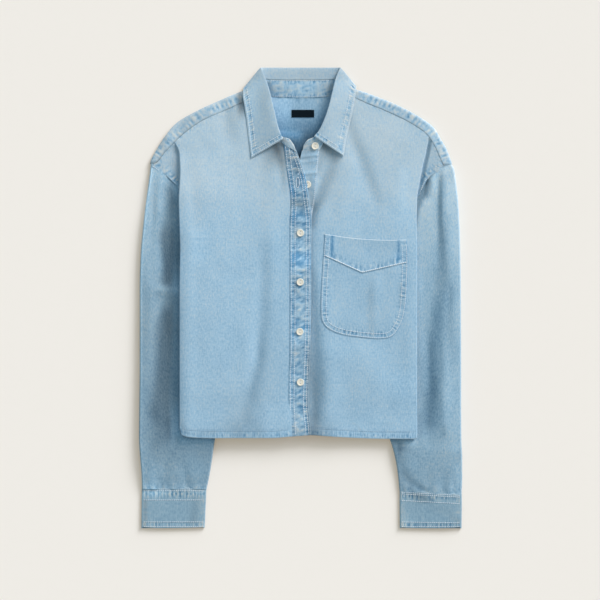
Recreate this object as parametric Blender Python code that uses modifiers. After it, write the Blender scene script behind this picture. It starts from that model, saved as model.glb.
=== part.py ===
"""A long-sleeved chambray shirt with one chest pocket, lying face up and flat.

The shirt rests on the plane Z = 0 with its collar towards +Y. The wearer's left is
+X. The sleeves lie straight down on the surface, and the body lies over their inner
halves. Every table is in millimetres; the meshes are in metres.
"""

import math

import bmesh
import bpy
import numpy as np
from mathutils import Vector

MM = 0.001

CLOTH = 1.2  # thickness of every cloth wall
SEAM = 0.3  # gap between two pieces that are sewn together
STACK = 0.7  # gap between a piece and the panel that it lies on
BODY_GAP = 1.7  # plain distance between the inner faces of back and front
BODY_GAP_MIN, BODY_GAP_MAX = 0.5, 3.4
SLEEVE_LIFT = 6.4  # how far a sleeve lifts the panels that lie over it
RAMP = 46.0  # length over which a panel climbs onto a sleeve
RAMP_END = 8.0  # the climb ends this far before the sleeve's edge
NECK_GAP = 1.3  # gap between the fronts' neck edges and the collar stand
YOKE_GAP = 0.8  # gap between the fronts' top edges and the yoke
LEAF_GAP = 1.4  # gap between the collar stand and the leaf
BOW_SHARE = 0.5  # the armhole's bow ends halfway along a sleeve's first ring
FOLD_TOP_Y = 250.0  # the side folds end at the yoke's seam, below this
SEAM_CLIMB = 26.0  # length over which the right front climbs to the placket's level
BUTTON_R, BUTTON_H = 5.7, 2.3
HOLE_R, HOLE_SPACING = 0.75, 3.0
DISH_R, DISH_DEPTH = 4.1, 0.6

# The sleeves' seams with the body lie on this line: its shoulder end and its slope.
ARMHOLE_X, ARMHOLE_Y = 234.0, 210.0
ARMHOLE_NORMAL = (0.635, 0.773)
# The back passes from on top of the sleeve to beside it between these two widths.
CORNER_X, CORNER_W = 186.0, 30.0


def table(columns, *rows):
    """Returns the columns of a table by name. The first column rises or falls."""
    values = np.array(rows, float)
    if values[0, 0] > values[-1, 0]:
        values = values[::-1]
    return {name: values[:, k] for k, name in enumerate(columns.split())}


# Wearer's right front: the fold of its side and the edge beyond it. Below the neck
# its centre edge is the placket's, and along the neck it is the collar stand's.
FRONT_RIGHT = table(
    "y centre fold edge edge_z",
    (-214, 15.4, 184.5, 175.5, 7.0),
    (-205, 15.7, 187.0, 176.0, 7.0),
    (-160, 17.4, 187.0, 176.0, 7.0),
    (-100, 16.3, 187.0, 176.0, 7.0),
    (-40, 15.9, 187.0, 176.0, 7.0),
    (20, 15.9, 187.0, 176.0, 7.0),
    (75, 15.9, 187.3, 176.0, 7.0),
    (120, 15.9, 188.0, 176.5, 7.0),
    (155, 14.6, 188.4, 181.0, 7.2),
    (173, 16.4, 188.3, 189.3, 8.2),
    (186, 18.0, 188.0, 201.2, 6.4),
    (197, 19.4, 187.6, 213.2, 5.0),
    (208.5, 20.9, 187.4, 231.5, 4.4),
    (213, 21.5, 187.8, 222.4, 4.2),
    (229, 23.8, 188.6, 210.6, 3.8),
    (242, 26.4, 191.6, 201.8, 3.6),
    (258, 41.4, 190.0, 190.4, 3.5),
    (280, 58.8, 163.0, 163.2, 3.5),
    (295, 69.2, 129.2, 129.4, 3.5),
    (308, 77.0, 88.0, 88.2, 3.5),
)
# Wearer's left front. Its centre edge is the stitch line of the button stand.
FRONT_LEFT = table(
    "y centre fold edge edge_z",
    (-214, 13.8, 181.6, 171.0, 7.0),
    (-205, 13.8, 181.8, 171.0, 7.0),
    (-160, 13.8, 181.6, 171.0, 7.0),
    (-100, 13.8, 181.6, 171.0, 7.0),
    (-40, 13.8, 181.6, 171.0, 7.0),
    (20, 13.8, 181.6, 171.0, 7.0),
    (75, 14.6, 181.6, 171.0, 7.0),
    (120, 17.0, 181.7, 172.0, 7.0),
    (150, 21.6, 183.2, 179.0, 7.2),
    (166, 23.2, 185.2, 187.0, 8.6),
    (180, 24.4, 188.6, 194.6, 7.6),
    (192, 25.6, 191.0, 203.8, 5.8),
    (198, 26.2, 192.4, 214.6, 4.8),
    (204, 26.8, 193.4, 222.0, 4.4),
    (206.6, 27.0, 193.8, 234.6, 4.4),
    (209.4, 27.3, 194.4, 223.2, 4.2),
    (233, 30.0, 199.0, 214.8, 3.8),
    (248, 38.6, 203.0, 207.0, 3.6),
    (258, 44.4, 201.4, 201.6, 3.5),
    (277, 57.2, 173.8, 174.0, 3.5),
    (296, 69.8, 139.4, 139.6, 3.5),
    (315, 79.8, 90.0, 90.2, 3.5),
)
# The back's side edges, which lie beside or under the fronts' edges.
BACK = table(
    "y right left",
    (-214, 174.9, 170.4),
    (-205, 175.4, 170.4),
    (-150, 175.4, 170.4),
    (-90, 175.4, 170.4),
    (-30, 175.4, 170.4),
    (30, 175.4, 170.4),
    (75, 175.4, 170.4),
    (120, 175.9, 171.4),
    (150, 179.0, 177.8),
    (172, 187.0, 186.0),
    (186, 199.0, 195.0),
    (197, 211.0, 211.0),
    (204.7, 222.0, 226.0),
)
BACK_SEAM_Y = 205.0  # the yoke's seam with the back

# The placket's free edge, beside its seam with the right front at the same row.
PLACKET = table(
    "y free_x free_y",
    (-214, 16.0, -212.5),
    (-205, 15.6, -204.0),
    (-160, 12.1, -160.0),
    (-100, 14.2, -100.0),
    (-40, 15.8, -40.0),
    (20, 16.4, 20.0),
    (75, 16.4, 75.0),
    (120, 16.8, 120.0),
    (155, 12.8, 155.0),
    (173, 10.6, 175.0),
    (186, 8.4, 187.0),
    (197, 5.8, 196.0),
    (208.5, 3.0, 206.0),
    (213, 1.6, 210.0),
    (229, -2.9, 221.0),
    (240, -5.9, 229.2),
)
# The button stand's inner edge, under the placket. The other is the front's.
BUTTON_STAND = table(
    "y inner",
    (-214, -14.5),
    (75, -14.5),
    (120, -12.5),
    (150, -8.0),
    (180, -3.4),
    (210, 0.6),
    (229, 4.0),
)
STAND_TOP_Y = 229.0

# The sleeves' rings run from the outer to the inner edge, from armhole to cuff.
SLEEVE_RIGHT = table(
    "ring outer_x outer_y inner_x inner_y height bow",
    (0, 233.4, 208.2, 95.0, 93.8, 5.0, 2.6),
    (1, 236.4, 184.0, 93.0, 70.0, 5.6, 1.2),
    (2, 240.2, 155.0, 93.0, 42.0, 5.8, 0.0),
    (3, 245.2, 114.0, 95.5, 8.0, 5.8, 0.0),
    (4, 249.2, 68.0, 100.0, -32.0, 5.8, 0.0),
    (5, 250.6, 15.0, 107.0, -75.0, 5.8, 0.0),
    (6, 251.0, -45.0, 115.0, -120.0, 5.8, 0.0),
    (7, 251.0, -105.0, 123.0, -160.0, 5.8, 0.0),
    (8, 251.0, -165.0, 130.0, -197.0, 5.8, 0.0),
    (9, 250.8, -215.0, 135.7, -226.0, 5.8, 0.0),
    (10, 249.0, -248.0, 139.0, -250.0, 5.8, 0.0),
    (11, 247.0, -273.0, 143.0, -273.0, 5.8, 0.0),
    (12, 246.5, -295.8, 145.9, -295.8, 5.8, 0.0),
)
SLEEVE_LEFT = table(
    "ring outer_x outer_y inner_x inner_y height bow",
    (0, 236.4, 205.2, 95.0, 93.8, 5.0, 9.4),
    (1, 239.4, 182.0, 93.0, 70.0, 5.6, 5.0),
    (2, 243.4, 150.0, 93.0, 42.0, 5.8, 0.0),
    (3, 247.0, 104.0, 95.5, 8.0, 5.8, 0.0),
    (4, 249.0, 58.0, 100.0, -32.0, 5.8, 0.0),
    (5, 249.8, 15.0, 107.0, -75.0, 5.8, 0.0),
    (6, 250.2, -45.0, 115.0, -120.0, 5.8, 0.0),
    (7, 250.4, -105.0, 123.0, -160.0, 5.8, 0.0),
    (8, 250.4, -165.0, 131.0, -197.0, 5.8, 0.0),
    (9, 251.4, -215.0, 141.4, -226.0, 5.8, 0.0),
    (10, 252.8, -248.0, 146.2, -250.0, 5.8, 0.0),
    (11, 252.8, -275.0, 150.5, -273.0, 5.8, 0.0),
    (12, 252.2, -303.6, 155.2, -298.4, 5.8, 0.0),
)
SLEEVE_FALL = table(
    "y inner",
    (-240, 137),
    (-197, 130),
    (-120, 115),
    (-32, 100),
    (42, 93),
    (94, 93),
)
CUFF_RIGHT = table(
    "ring outer_x outer_y inner_x inner_y height bow",
    (0, 246.6, -296.4, 146.0, -296.4, 6.4, 0.0),
    (1, 246.9, -312.0, 146.6, -312.0, 6.4, 0.0),
    (2, 247.2, -335.0, 147.6, -335.0, 6.4, 0.0),
    (3, 247.4, -358.9, 148.4, -358.4, 6.4, 0.0),
)
CUFF_LEFT = table(
    "ring outer_x outer_y inner_x inner_y height bow",
    (0, 252.3, -304.2, 155.3, -299.0, 6.4, 0.0),
    (1, 252.3, -320.0, 155.2, -316.0, 6.4, 0.0),
    (2, 252.1, -338.0, 155.4, -336.0, 6.4, 0.0),
    (3, 251.8, -359.0, 155.6, -358.6, 6.4, 0.0),
)

# The shoulder fold, opposite each row of the yoke's seam with the front.
SHOULDER_RIGHT = table(
    "y fold_x fold_y",
    (213, 233.2, 213.6),
    (229, 226.5, 232.2),
    (242, 218.5, 246.0),
    (258, 204.4, 263.2),
    (280, 173.0, 292.0),
    (295, 134.0, 310.6),
    (308, 87.0, 328.0),
)
SHOULDER_LEFT = table(
    "y fold_x fold_y",
    (209.4, 237.2, 210.0),
    (233, 229.4, 234.0),
    (248, 217.0, 250.0),
    (258, 206.0, 262.4),
    (277, 176.0, 286.4),
    (296, 136.0, 305.6),
    (315, 90.0, 324.8),
)
SHOULDER_NECK_X, SHOULDER_NECK_Y = 81.5, 329.6
YOKE_NECK = table("x y", (0, 313.2), (25, 313.6), (50, 316.7), (70, 322.4), (81.5, 328))

# Collar stand: its neck edge and its upper edge, from a front end to the centre back.
STAND_RIGHT = table(
    "part neck_x neck_y neck_z top_x top_y top_z",
    (0, 6.4, 230.0, 5.2, 9.6, 240.4, 6.2),
    (1, 15.5, 235.5, 5.2, 17.8, 249.6, 6.8),
    (2, 25.3, 241.4, 5.2, 27.2, 252.0, 7.0),
    (3, 41.2, 259.0, 4.2, 34.5, 267.0, 11.0),
    (4, 65.0, 290.6, 3.8, 44.0, 297.0, 12.5),
    (5, 75.6, 309.0, 3.7, 51.5, 322.0, 12.0),
    (6, 78.0, 318.0, 3.2, 57.5, 336.0, 11.0),
    (7, 79.0, 325.4, 2.4, 62.0, 345.6, 8.6),
    (8, 74.0, 325.4, 1.2, 61.0, 346.0, 6.4),
    (9, 50.0, 317.5, 0.8, 47.5, 343.6, 6.0),
    (10, 25.0, 314.4, 0.8, 24.0, 343.0, 6.0),
    (11, 0.0, 314.0, 0.8, 0.0, 343.0, 6.0),
)
STAND_LEFT = table(
    "part neck_x neck_y neck_z top_x top_y top_z",
    (0, 4.2, 229.8, 3.6, 5.8, 239.5, 4.4),
    (1, 15.0, 230.2, 3.6, 12.0, 247.6, 4.8),
    (2, 28.9, 232.0, 3.6, 23.8, 253.2, 5.4),
    (3, 44.0, 259.0, 3.8, 33.0, 266.0, 9.6),
    (4, 65.0, 290.6, 3.8, 45.5, 297.0, 12.5),
    (5, 76.6, 311.0, 3.7, 53.5, 325.0, 12.0),
    (6, 78.4, 319.0, 3.2, 59.5, 338.0, 11.0),
    (7, 79.0, 325.4, 2.4, 63.0, 345.6, 8.6),
    (8, 74.0, 325.4, 1.2, 61.0, 346.0, 6.4),
    (9, 50.0, 317.5, 0.8, 47.5, 343.6, 6.0),
    (10, 25.0, 314.4, 0.8, 24.0, 343.0, 6.0),
    (11, 0.0, 314.0, 0.8, 0.0, 343.0, 6.0),
)
# Collar leaf: its fold and its outer edge at the same stations. Turn is the way the
# leaf lies from the stand: 90 above it, 0 outside it and -90 below it.
LEAF_RIGHT = table(
    "part fold_x fold_y fold_z edge_x edge_y edge_z turn",
    (2, 26.6, 252.6, 10.4, 74.8, 223.2, 5.4, 90),
    (3, 32.9, 264.6, 12.6, 77.6, 243.0, 5.4, 90),
    (4, 41.2, 299.0, 14.4, 82.0, 279.0, 5.4, 90),
    (5, 48.6, 328.5, 14.0, 86.2, 305.0, 5.6, 90),
    (6, 54.4, 345.0, 12.6, 88.4, 318.0, 5.6, 60),
    (7, 59.4, 358.2, 9.4, 88.8, 327.0, 4.2, 10),
    (8, 58.0, 359.0, 5.6, 80.0, 335.4, 0.8, -60),
    (9, 46.0, 359.0, 4.0, 56.0, 328.4, 0.6, -90),
    (10, 24.0, 359.0, 4.0, 28.0, 325.0, 0.6, -90),
    (11, 0.0, 359.0, 4.0, 0.0, 324.4, 0.6, -90),
)
LEAF_LEFT = table(
    "part fold_x fold_y fold_z edge_x edge_y edge_z turn",
    (2, 23.6, 254.4, 8.6, 66.0, 226.0, 5.4, 90),
    (3, 31.6, 262.8, 11.2, 70.0, 246.0, 5.4, 90),
    (4, 42.6, 293.0, 14.4, 78.6, 281.0, 5.4, 90),
    (5, 50.2, 322.5, 14.0, 83.0, 308.0, 5.6, 90),
    (6, 55.6, 344.2, 12.6, 85.2, 321.0, 5.6, 60),
    (7, 60.4, 358.2, 9.4, 86.6, 330.0, 4.2, 10),
    (8, 58.8, 359.0, 5.6, 78.0, 336.4, 0.8, -60),
    (9, 46.0, 359.0, 4.0, 56.0, 328.4, 0.6, -90),
    (10, 24.0, 359.0, 4.0, 28.0, 325.0, 0.6, -90),
    (11, 0.0, 359.0, 4.0, 0.0, 324.4, 0.6, -90),
)
CREASE_OUT = (0.8, 0.6)  # the way out of the collar's side crease, in plan

POCKET = table(
    "row inner_x inner_y outer_x outer_y sag",
    (0, 38.8, 100.6, 165.0, 91.6, 3.5),
    (1, 37.2, 80.0, 167.6, 76.0, 1.8),
    (2, 36.2, 62.0, 167.6, 56.0, 0.0),
    (3, 34.2, 30.0, 166.8, 28.0, 0.0),
    (4, 32.8, 0.0, 165.4, 0.0, 0.0),
    (5, 32.4, -14.0, 163.6, -16.0, 0.0),
    (6, 33.6, -30.0, 159.8, -32.0, 0.0),
    (7, 38.4, -40.8, 153.6, -45.0, 0.0),
    (8, 46.0, -47.4, 146.8, -54.8, 0.0),
    (9, 61.0, -53.8, 137.0, -60.4, 0.0),
    (10, 78.0, -57.8, 122.0, -62.0, 0.0),
)
BAND_INNER_Y, BAND_POINT_X, BAND_POINT_Y, BAND_OUTER_Y = 67.5, 97.0, 40.4, 56.6

LABEL_X, LABEL_Y, LABEL_W, LABEL_L = 4.4, 289.3, 34.5, 11.0

BUTTONS = table(
    "number x y",
    (1, 23.4, 238.4),
    (2, 11.5, 178.5),
    (3, 0.6, 103.0),
    (4, 0.2, 26.5),
    (5, -0.2, -50.7),
    (6, 0.6, -129.3),
)
LIFT_AT_BUTTON, LIFT_REACH = 2.9, 17.0  # the placket rides over button 2

# Folds of the fronts: a soft trough or ridge along an arc from (x0, y0) to (x1, y1).
# Bend is the arc's height to its left, and depth is how far the cloth dips.
BODY_FOLDS = table(
    "x0 y0 x1 y1 bend width depth",
    (-84, -195, -58, -60, 5, 15, 1.0),
    (-58, -60, -55, 78, 0, 13, 0.5),
    (26, -205, 27, 145, 0, 12, 1.1),
    (22, 140, 44, 210, -3, 10, 0.9),
    (133, 152, 92, 256, -4, 15, 0.9),
    (-174, -214, -174, 160, 0, 12, -1.1),
    (170, -214, 170, 150, 0, 12, -1.0),
    (-176, 160, -181, 240, 0, 12, -1.0),
    (178, 150, 190, 240, 0, 12, -1.0),
)
# Folds of the sleeves' upper faces.
SLEEVE_FOLDS = table(
    "x0 y0 x1 y1 bend width depth",
    (-204, 172, -203, -205, 0, 15, 1.5),
    (219, 200, 232, 28, -9, 9, 1.3),
    (203, -10, 228, -215, -12, 12, 1.3),
)


def at(tab, name, where):
    """One column of a table at a place between its rows, by monotone cubic curves."""
    xs = tab[next(iter(tab))]
    ys = tab[name]
    step = np.diff(xs)
    slope = np.diff(ys) / step
    both = slope[:-1] * slope[1:]
    first, second = 2 * step[1:] + step[:-1], step[1:] + 2 * step[:-1]
    inner = np.zeros(len(both))
    turning = both > 0
    weight = first[turning] / slope[:-1][turning] + second[turning] / slope[1:][turning]
    inner[turning] = (first + second)[turning] / weight
    tangent = np.concatenate(([slope[0]], inner, [slope[-1]]))
    k = int(np.clip(np.searchsorted(xs, where) - 1, 0, len(step) - 1))
    t = min(max((where - xs[k]) / step[k], 0.0), 1.0)
    square, cube = t * t, t * t * t
    start = (2 * cube - 3 * square + 1) * ys[k] + (cube - 2 * square + t) * step[k] * tangent[k]
    end = (3 * square - 2 * cube) * ys[k + 1] + (cube - square) * step[k] * tangent[k + 1]
    return float(start + end)


def smoothstep(t):
    t = min(max(t, 0.0), 1.0)
    return t * t * (3 - 2 * t)


def mix(a, b, t):
    return a + (b - a) * t


def bezier(p0, p1, p2, p3, t):
    s = 1 - t
    weights = (s**3, 3 * s * s * t, 3 * s * t * t, t**3)
    return sum(w * np.array(p, float) for w, p in zip(weights, (p0, p1, p2, p3)))


def fold_dip(folds, x, y):
    """How far the folds of a table lower the cloth at (x, y)."""
    dip = 0.0
    for x0, y0, x1, y1, bend, width, depth in zip(*folds.values()):
        along, across = x1 - x0, y1 - y0
        length = math.hypot(along, across)
        t = ((x - x0) * along + (y - y0) * across) / length**2
        off = ((y - y0) * along - (x - x0) * across) / length
        inside = min(max(t, 0.0), 1.0)
        off -= 4 * bend * inside * (1 - inside)
        past = (t - inside) * length
        dip += depth * math.exp(-(off * off + past * past) / width**2)
    return dip


def over_sleeve(x, y):
    """1 where the body lies over a sleeve, 0 where it lies on the surface."""
    wide = abs(x)
    inside = smoothstep((wide - at(SLEEVE_FALL, "inner", y) + RAMP_END) / RAMP + 1)
    above = (ARMHOLE_X - wide) * ARMHOLE_NORMAL[0] + (y - ARMHOLE_Y) * ARMHOLE_NORMAL[1]
    below_armhole = 1 - smoothstep((above - RAMP_END) / RAMP)
    beside = 1 - smoothstep((wide - CORNER_X) / CORNER_W)
    return inside * below_armhole * beside


def back_z(x, y):
    return CLOTH / 2 + SLEEVE_LIFT * over_sleeve(x, y)


def front_z(x, y):
    """Height of the fronts' middle surface."""
    gap = BODY_GAP - fold_dip(BODY_FOLDS, x, y)
    gap = min(max(gap, BODY_GAP_MIN), BODY_GAP_MAX)
    return back_z(x, y) + CLOTH + gap


def placket_z(x, y):
    """The placket lies on the button stand and rides over the second button."""
    away = math.hypot(x - at(BUTTONS, "x", 2), y - at(BUTTONS, "y", 2))
    lift = LIFT_AT_BUTTON * (1 - smoothstep(away / LIFT_REACH - 0.35))
    return front_z(x, y) + CLOTH + STACK + lift


def cloth_mesh(name, sections, closed=False, thickness=CLOTH):
    """Lofts a wall of cloth through sections of equal length."""
    bm = bmesh.new()
    rings = [[bm.verts.new(np.array(p) * MM) for p in section] for section in sections]
    for low, high in zip(rings, rings[1:]):
        pairs = list(zip(low, high))
        pairs += pairs[:1] if closed else []
        for (a, d), (b, c) in zip(pairs, pairs[1:]):
            bm.faces.new((a, b, c, d))
    return finish_cloth(name, bm, thickness)


def finish_cloth(name, bm, thickness=CLOTH):
    """Gives a surface its thickness, half to each side."""
    bmesh.ops.recalc_face_normals(bm, faces=bm.faces)
    mesh = bpy.data.meshes.new(name)
    bm.to_mesh(mesh)
    bm.free()
    wall = bpy.data.objects.new(name, mesh)
    bpy.context.scene.collection.objects.link(wall)
    solid = wall.modifiers.new("thickness", "SOLIDIFY")
    solid.thickness = thickness * MM
    solid.offset = 0
    return wall


def neck_x(stand, y):
    """How far from the middle the collar stand's neck edge is."""
    parts = np.linspace(2, 6, 9)
    ys = [at(stand, "neck_y", part) for part in parts]
    return float(np.interp(y, ys, [at(stand, "neck_x", part) for part in parts]))


def front_section(tab, stand, side, y, base_z, plain=14, roll=6):
    """One row of a front: flat from the centre, then over the fold to its edge."""
    centre, edge = at(tab, "centre", y), at(tab, "edge", y)
    if y > at(stand, "neck_y", 2):
        centre = neck_x(stand, y) + NECK_GAP
    fold = max(at(tab, "fold", y) - CLOTH / 2, edge - 0.2 if y > FOLD_TOP_Y else 0)
    edge_z = at(tab, "edge_z", y)
    start = max(fold - 6, mix(centre, fold, 0.9))
    points = [mix(centre, start, k / plain) for k in range(plain)]
    section = [(side * a, y, base_z(side * a, y)) for a in points]
    round_under = (8 * fold - start - edge) / 6
    outward = smoothstep((edge - fold + 6) / 12)
    knee = mix(round_under, fold, outward)
    shin = mix(round_under, mix(fold, edge, 0.35), outward)
    if y > FOLD_TOP_Y:
        knee, shin = mix(start, edge, 1 / 3), mix(start, edge, 2 / 3)
    top_z = base_z(side * start, y)
    for k in range(roll + 1):
        a, z = bezier((start, top_z), (knee, top_z), (shin, edge_z), (edge, edge_z), k / roll)
        section.append((side * a, y, z))
    return section


def front_right_z(x, y):
    """The right front climbs to the placket's level where the two are sewn together."""
    near = 1 - smoothstep((-x - at(FRONT_RIGHT, "centre", y)) / SEAM_CLIMB)
    return mix(front_z(x, y), placket_z(x, y), near) if y < 250 else front_z(x, y)


def tube(name, tab, side, dips, around=7):
    """A flattened tube: its lower face is flat, its upper face follows the folds."""
    sections = []
    for ring in tab["ring"]:
        outer = np.array((side * at(tab, "outer_x", ring), at(tab, "outer_y", ring)))
        inner = np.array((side * at(tab, "inner_x", ring), at(tab, "inner_y", ring)))
        length = np.linalg.norm(inner - outer)
        across = (inner - outer) / length
        up = np.array((across[1], -across[0])) * side
        height = at(tab, "height", ring) - CLOTH
        radius = height / 2
        first, last = CLOTH / 2 + radius, length - CLOTH / 2 - radius
        flat = [mix(first, last, k / around) for k in range(around + 1)]
        low = [(a, 0.0) for a in flat]
        high = [(a, height) for a in reversed(flat)]
        turn = (-0.7, 0.0, 0.7)
        far = [(last + radius * math.cos(t), radius + radius * math.sin(t)) for t in turn]
        near = [(first - radius * math.cos(t), radius - radius * math.sin(t)) for t in turn]
        section = []
        for a, z in low + far + high + near:
            bowed = math.sin(math.pi * min(a / (BOW_SHARE * length), 1)) ** 0.7
            bowed *= at(tab, "bow", ring)
            x, y = outer + across * a + up * bowed
            if dips and z == height:
                z -= min(fold_dip(SLEEVE_FOLDS, x, y), height - CLOTH - STACK)
            section.append((x, y, z + CLOTH / 2))
        sections.append(section)
    return cloth_mesh(name, sections, closed=True)


def build_yoke():
    """The yoke lies on the surface and wraps over each shoulder to its front seam."""
    bm = bmesh.new()
    back_rows, neck_columns, roll = 4, 8, 4

    def shoulder(tab, front, side):
        for y in tab["y"]:
            fold = np.array((side * at(tab, "fold_x", y), at(tab, "fold_y", y)))
            seam = np.array((side * at(front, "edge", y), y))
            yield fold, seam + (fold - seam) * (YOKE_GAP / np.linalg.norm(fold - seam))
        fold = np.array((side * SHOULDER_NECK_X, SHOULDER_NECK_Y))
        yield fold, np.array((side * (neck_x(front_stand[side], y) + NECK_GAP), y + YOKE_GAP))

    front_stand = {-1: STAND_RIGHT, 1: STAND_LEFT}
    right = list(shoulder(SHOULDER_RIGHT, FRONT_RIGHT, -1))
    left = list(shoulder(SHOULDER_LEFT, FRONT_LEFT, 1))
    neck_xs = np.linspace(-SHOULDER_NECK_X, SHOULDER_NECK_X, neck_columns + 1)[1:-1]
    neck = [(np.array((x, at(YOKE_NECK, "y", abs(x)))), None) for x in neck_xs]
    stations = right + neck + left[::-1]
    floor = CLOTH / 2
    grid = []
    for fold, seam in stations:
        foot_x = fold[0] * 0.957 if seam is not None else fold[0]
        foot = np.array((foot_x, BACK_SEAM_Y + SEAM))
        inset = foot - fold
        end = fold if seam is None else fold + inset * min(5 / np.linalg.norm(inset), 0.5)
        steps = [mix(foot, end, k / back_rows) for k in range(back_rows + 1)]
        points = [(x, y, floor) for x, y in steps]
        if seam is not None:
            top = front_z(*seam)
            lead = mix(seam, fold, 0.6)
            inner = fold - (fold - lead) * (CLOTH / 2 / np.linalg.norm(fold - lead))
            out = (8 * inner - end - lead) / 6
            ends = ((*end, floor), (*out, floor), (*out, top), (*lead, top))
            curve = [bezier(*ends, k / roll) for k in range(1, roll + 1)]
            points += [tuple(p) for p in curve]
            points += [(*mix(lead, seam, 0.5), top), (*seam, top)]
        grid.append([bm.verts.new(np.array(p) * MM) for p in points])
    for left, right in zip(grid, grid[1:]):
        pairs = list(zip(left, right))
        for (a, b), (d, c) in zip(pairs, pairs[1:]):
            bm.faces.new((a, b, c, d))
    return finish_cloth("yoke", bm)


def stations(right, left, names):
    """Collar stations from the right front end round the back to the left one."""
    last = right["part"][-1]
    parts = np.linspace(right["part"][0], last, 2 * int(last - right["part"][0]) + 1)
    rows = [(-1, [at(right, n, p) for n in names], p) for p in parts]
    rows += [(1, [at(left, n, p) for n in names], p) for p in parts[-2::-1]]
    return rows


def build_collar():
    """The stand, and the leaf that turns over its upper edge."""
    names = ("neck_x", "neck_y", "neck_z", "top_x", "top_y", "top_z")
    sections = []
    for side, (nx, ny, nz, tx, ty, tz), _ in stations(STAND_RIGHT, STAND_LEFT, names):
        neck, top = np.array((side * nx, ny, nz)), np.array((side * tx, ty, tz))
        sections.append([mix(neck, top, k / 3) for k in range(4)])
    cloth_mesh("collar_stand", sections)

    names = ("fold_x", "fold_y", "fold_z", "edge_x", "edge_y", "edge_z", "turn")
    sections = []
    for side, (fx, fy, fz, ex, ey, ez, turn), part in stations(LEAF_RIGHT, LEAF_LEFT, names):
        stand = STAND_RIGHT if side < 0 else STAND_LEFT
        top = np.array([at(stand, n, part) for n in ("top_x", "top_y", "top_z")])
        neck = np.array([at(stand, n, part) for n in ("neck_x", "neck_y", "neck_z")])
        top[0], neck[0] = side * top[0], side * neck[0]
        fold, edge = np.array((side * fx, fy, fz)), np.array((side * ex, ey, ez))
        level, lean = math.cos(math.radians(turn)), math.sin(math.radians(turn))
        out = np.array((side * CREASE_OUT[0] * level, CREASE_OUT[1] * level, lean))
        rise = (top - neck) / np.linalg.norm(top - neck)
        start = top + rise * LEAF_GAP
        under = [bezier(start, start + rise, fold - out, fold, k / 3) for k in range(3)]
        leave, arrive = fold + out * 2.5, edge + (fold - edge) * 0.4
        over = [bezier(fold, leave, arrive, edge, t) for t in (0, 0.12, 0.3, 0.55, 0.8, 1)]
        sections.append(under + over)
    cloth_mesh("collar", sections)


def build_pocket():
    """The pocket lies on the left front, and its band lies on the pocket."""
    across = 12
    lift = CLOTH + STACK

    def point(row, t, layers):
        inner = np.array((at(POCKET, "inner_x", row), at(POCKET, "inner_y", row)))
        outer = np.array((at(POCKET, "outer_x", row), at(POCKET, "outer_y", row)))
        x, y = mix(inner, outer, t)
        y -= at(POCKET, "sag", row) * math.sin(math.pi * t)
        return x, y, front_z(x, y) + layers * lift

    sections = [[point(row, k / across, 1) for k in range(across + 1)] for row in POCKET["row"]]
    cloth_mesh("pocket", sections)

    sections = []
    left, right = at(POCKET, "inner_x", 1.8), at(POCKET, "outer_x", 2.0)
    for down in np.linspace(0, 1, 5):
        section = []
        for k in range(across + 1):
            x, y, _ = point(0, k / across, 2)
            if x < BAND_POINT_X:
                low = mix(BAND_INNER_Y, BAND_POINT_Y, (x - left) / (BAND_POINT_X - left))
            else:
                low = mix(BAND_POINT_Y, BAND_OUTER_Y, (x - BAND_POINT_X) / (right - BAND_POINT_X))
            y = mix(y, low, down)
            section.append((x, y, front_z(x, y) + 2 * lift))
        sections.append(section)
    cloth_mesh("pocket_band", sections)


def build_label():
    """A plain label lies on the yoke behind the neck."""
    z = CLOTH + SEAM + 0.5
    rows = [LABEL_Y - LABEL_L / 2, LABEL_Y + LABEL_L / 2]
    ends = [LABEL_X - LABEL_W / 2, LABEL_X, LABEL_X + LABEL_W / 2]
    cloth_mesh("neck_label", [[(x, y, z) for x in ends] for y in rows], thickness=1.0)


def cylinder(name, radius, height, x, y, z, sides):
    bpy.ops.mesh.primitive_cylinder_add(
        vertices=sides, radius=radius * MM, depth=height * MM, location=(x * MM, y * MM, z * MM)
    )
    shape = bpy.context.object
    shape.name = shape.data.name = name
    return shape


def cut(shape, tool):
    """Cuts the tool's shape away and removes the tool."""
    hole = shape.modifiers.new("cut", "BOOLEAN")
    hole.operation = "DIFFERENCE"
    hole.solver = "EXACT"
    hole.object = tool
    bpy.context.view_layer.objects.active = shape
    bpy.ops.object.modifier_apply(modifier=hole.name)
    bpy.data.objects.remove(tool)


def build_button(number, x, y, floor):
    """A dished button with two holes, lying on what it is sewn to."""
    name = f"button_{number}"
    middle = floor + BUTTON_H / 2
    button = cylinder(name, BUTTON_R, BUTTON_H, x, y, middle, 24)
    edge = button.modifiers.new("rim", "BEVEL")
    edge.width = 0.5 * MM
    edge.segments = 1
    bpy.context.view_layer.objects.active = button
    bpy.ops.object.modifier_apply(modifier=edge.name)
    cut(button, cylinder("dish", DISH_R, 2 * DISH_DEPTH, x, y, floor + BUTTON_H, 24))
    for end in (-0.5, 0.5):
        off = end * HOLE_SPACING
        cut(button, cylinder("hole", HOLE_R, 4 * BUTTON_H, x, y + off, middle, 8))
    return button


def colour(name, rgb, roughness):
    """Gives an object its own material."""
    material = bpy.data.materials.new(name)
    material.use_nodes = True
    shader = material.node_tree.nodes["Principled BSDF"]
    shader.inputs["Base Color"].default_value = (*rgb, 1)
    shader.inputs["Roughness"].default_value = roughness
    shader.inputs["Metallic"].default_value = 0
    mesh = bpy.data.objects[name].data
    mesh.materials.clear()
    mesh.materials.append(material)


def centre_outline():
    """Moves every mesh so that the outline's box is centred on the origin in plan."""
    graph = bpy.context.evaluated_depsgraph_get()
    graph.update()
    corners = []
    for shape in bpy.data.objects:
        seen = shape.evaluated_get(graph)
        corners += [seen.matrix_world @ Vector(corner) for corner in seen.bound_box]
    points = np.array(corners)
    middle = (points.min(axis=0) + points.max(axis=0)) / 2
    for shape in bpy.data.objects:
        shape.location.x -= middle[0]
        shape.location.y -= middle[1]


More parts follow.
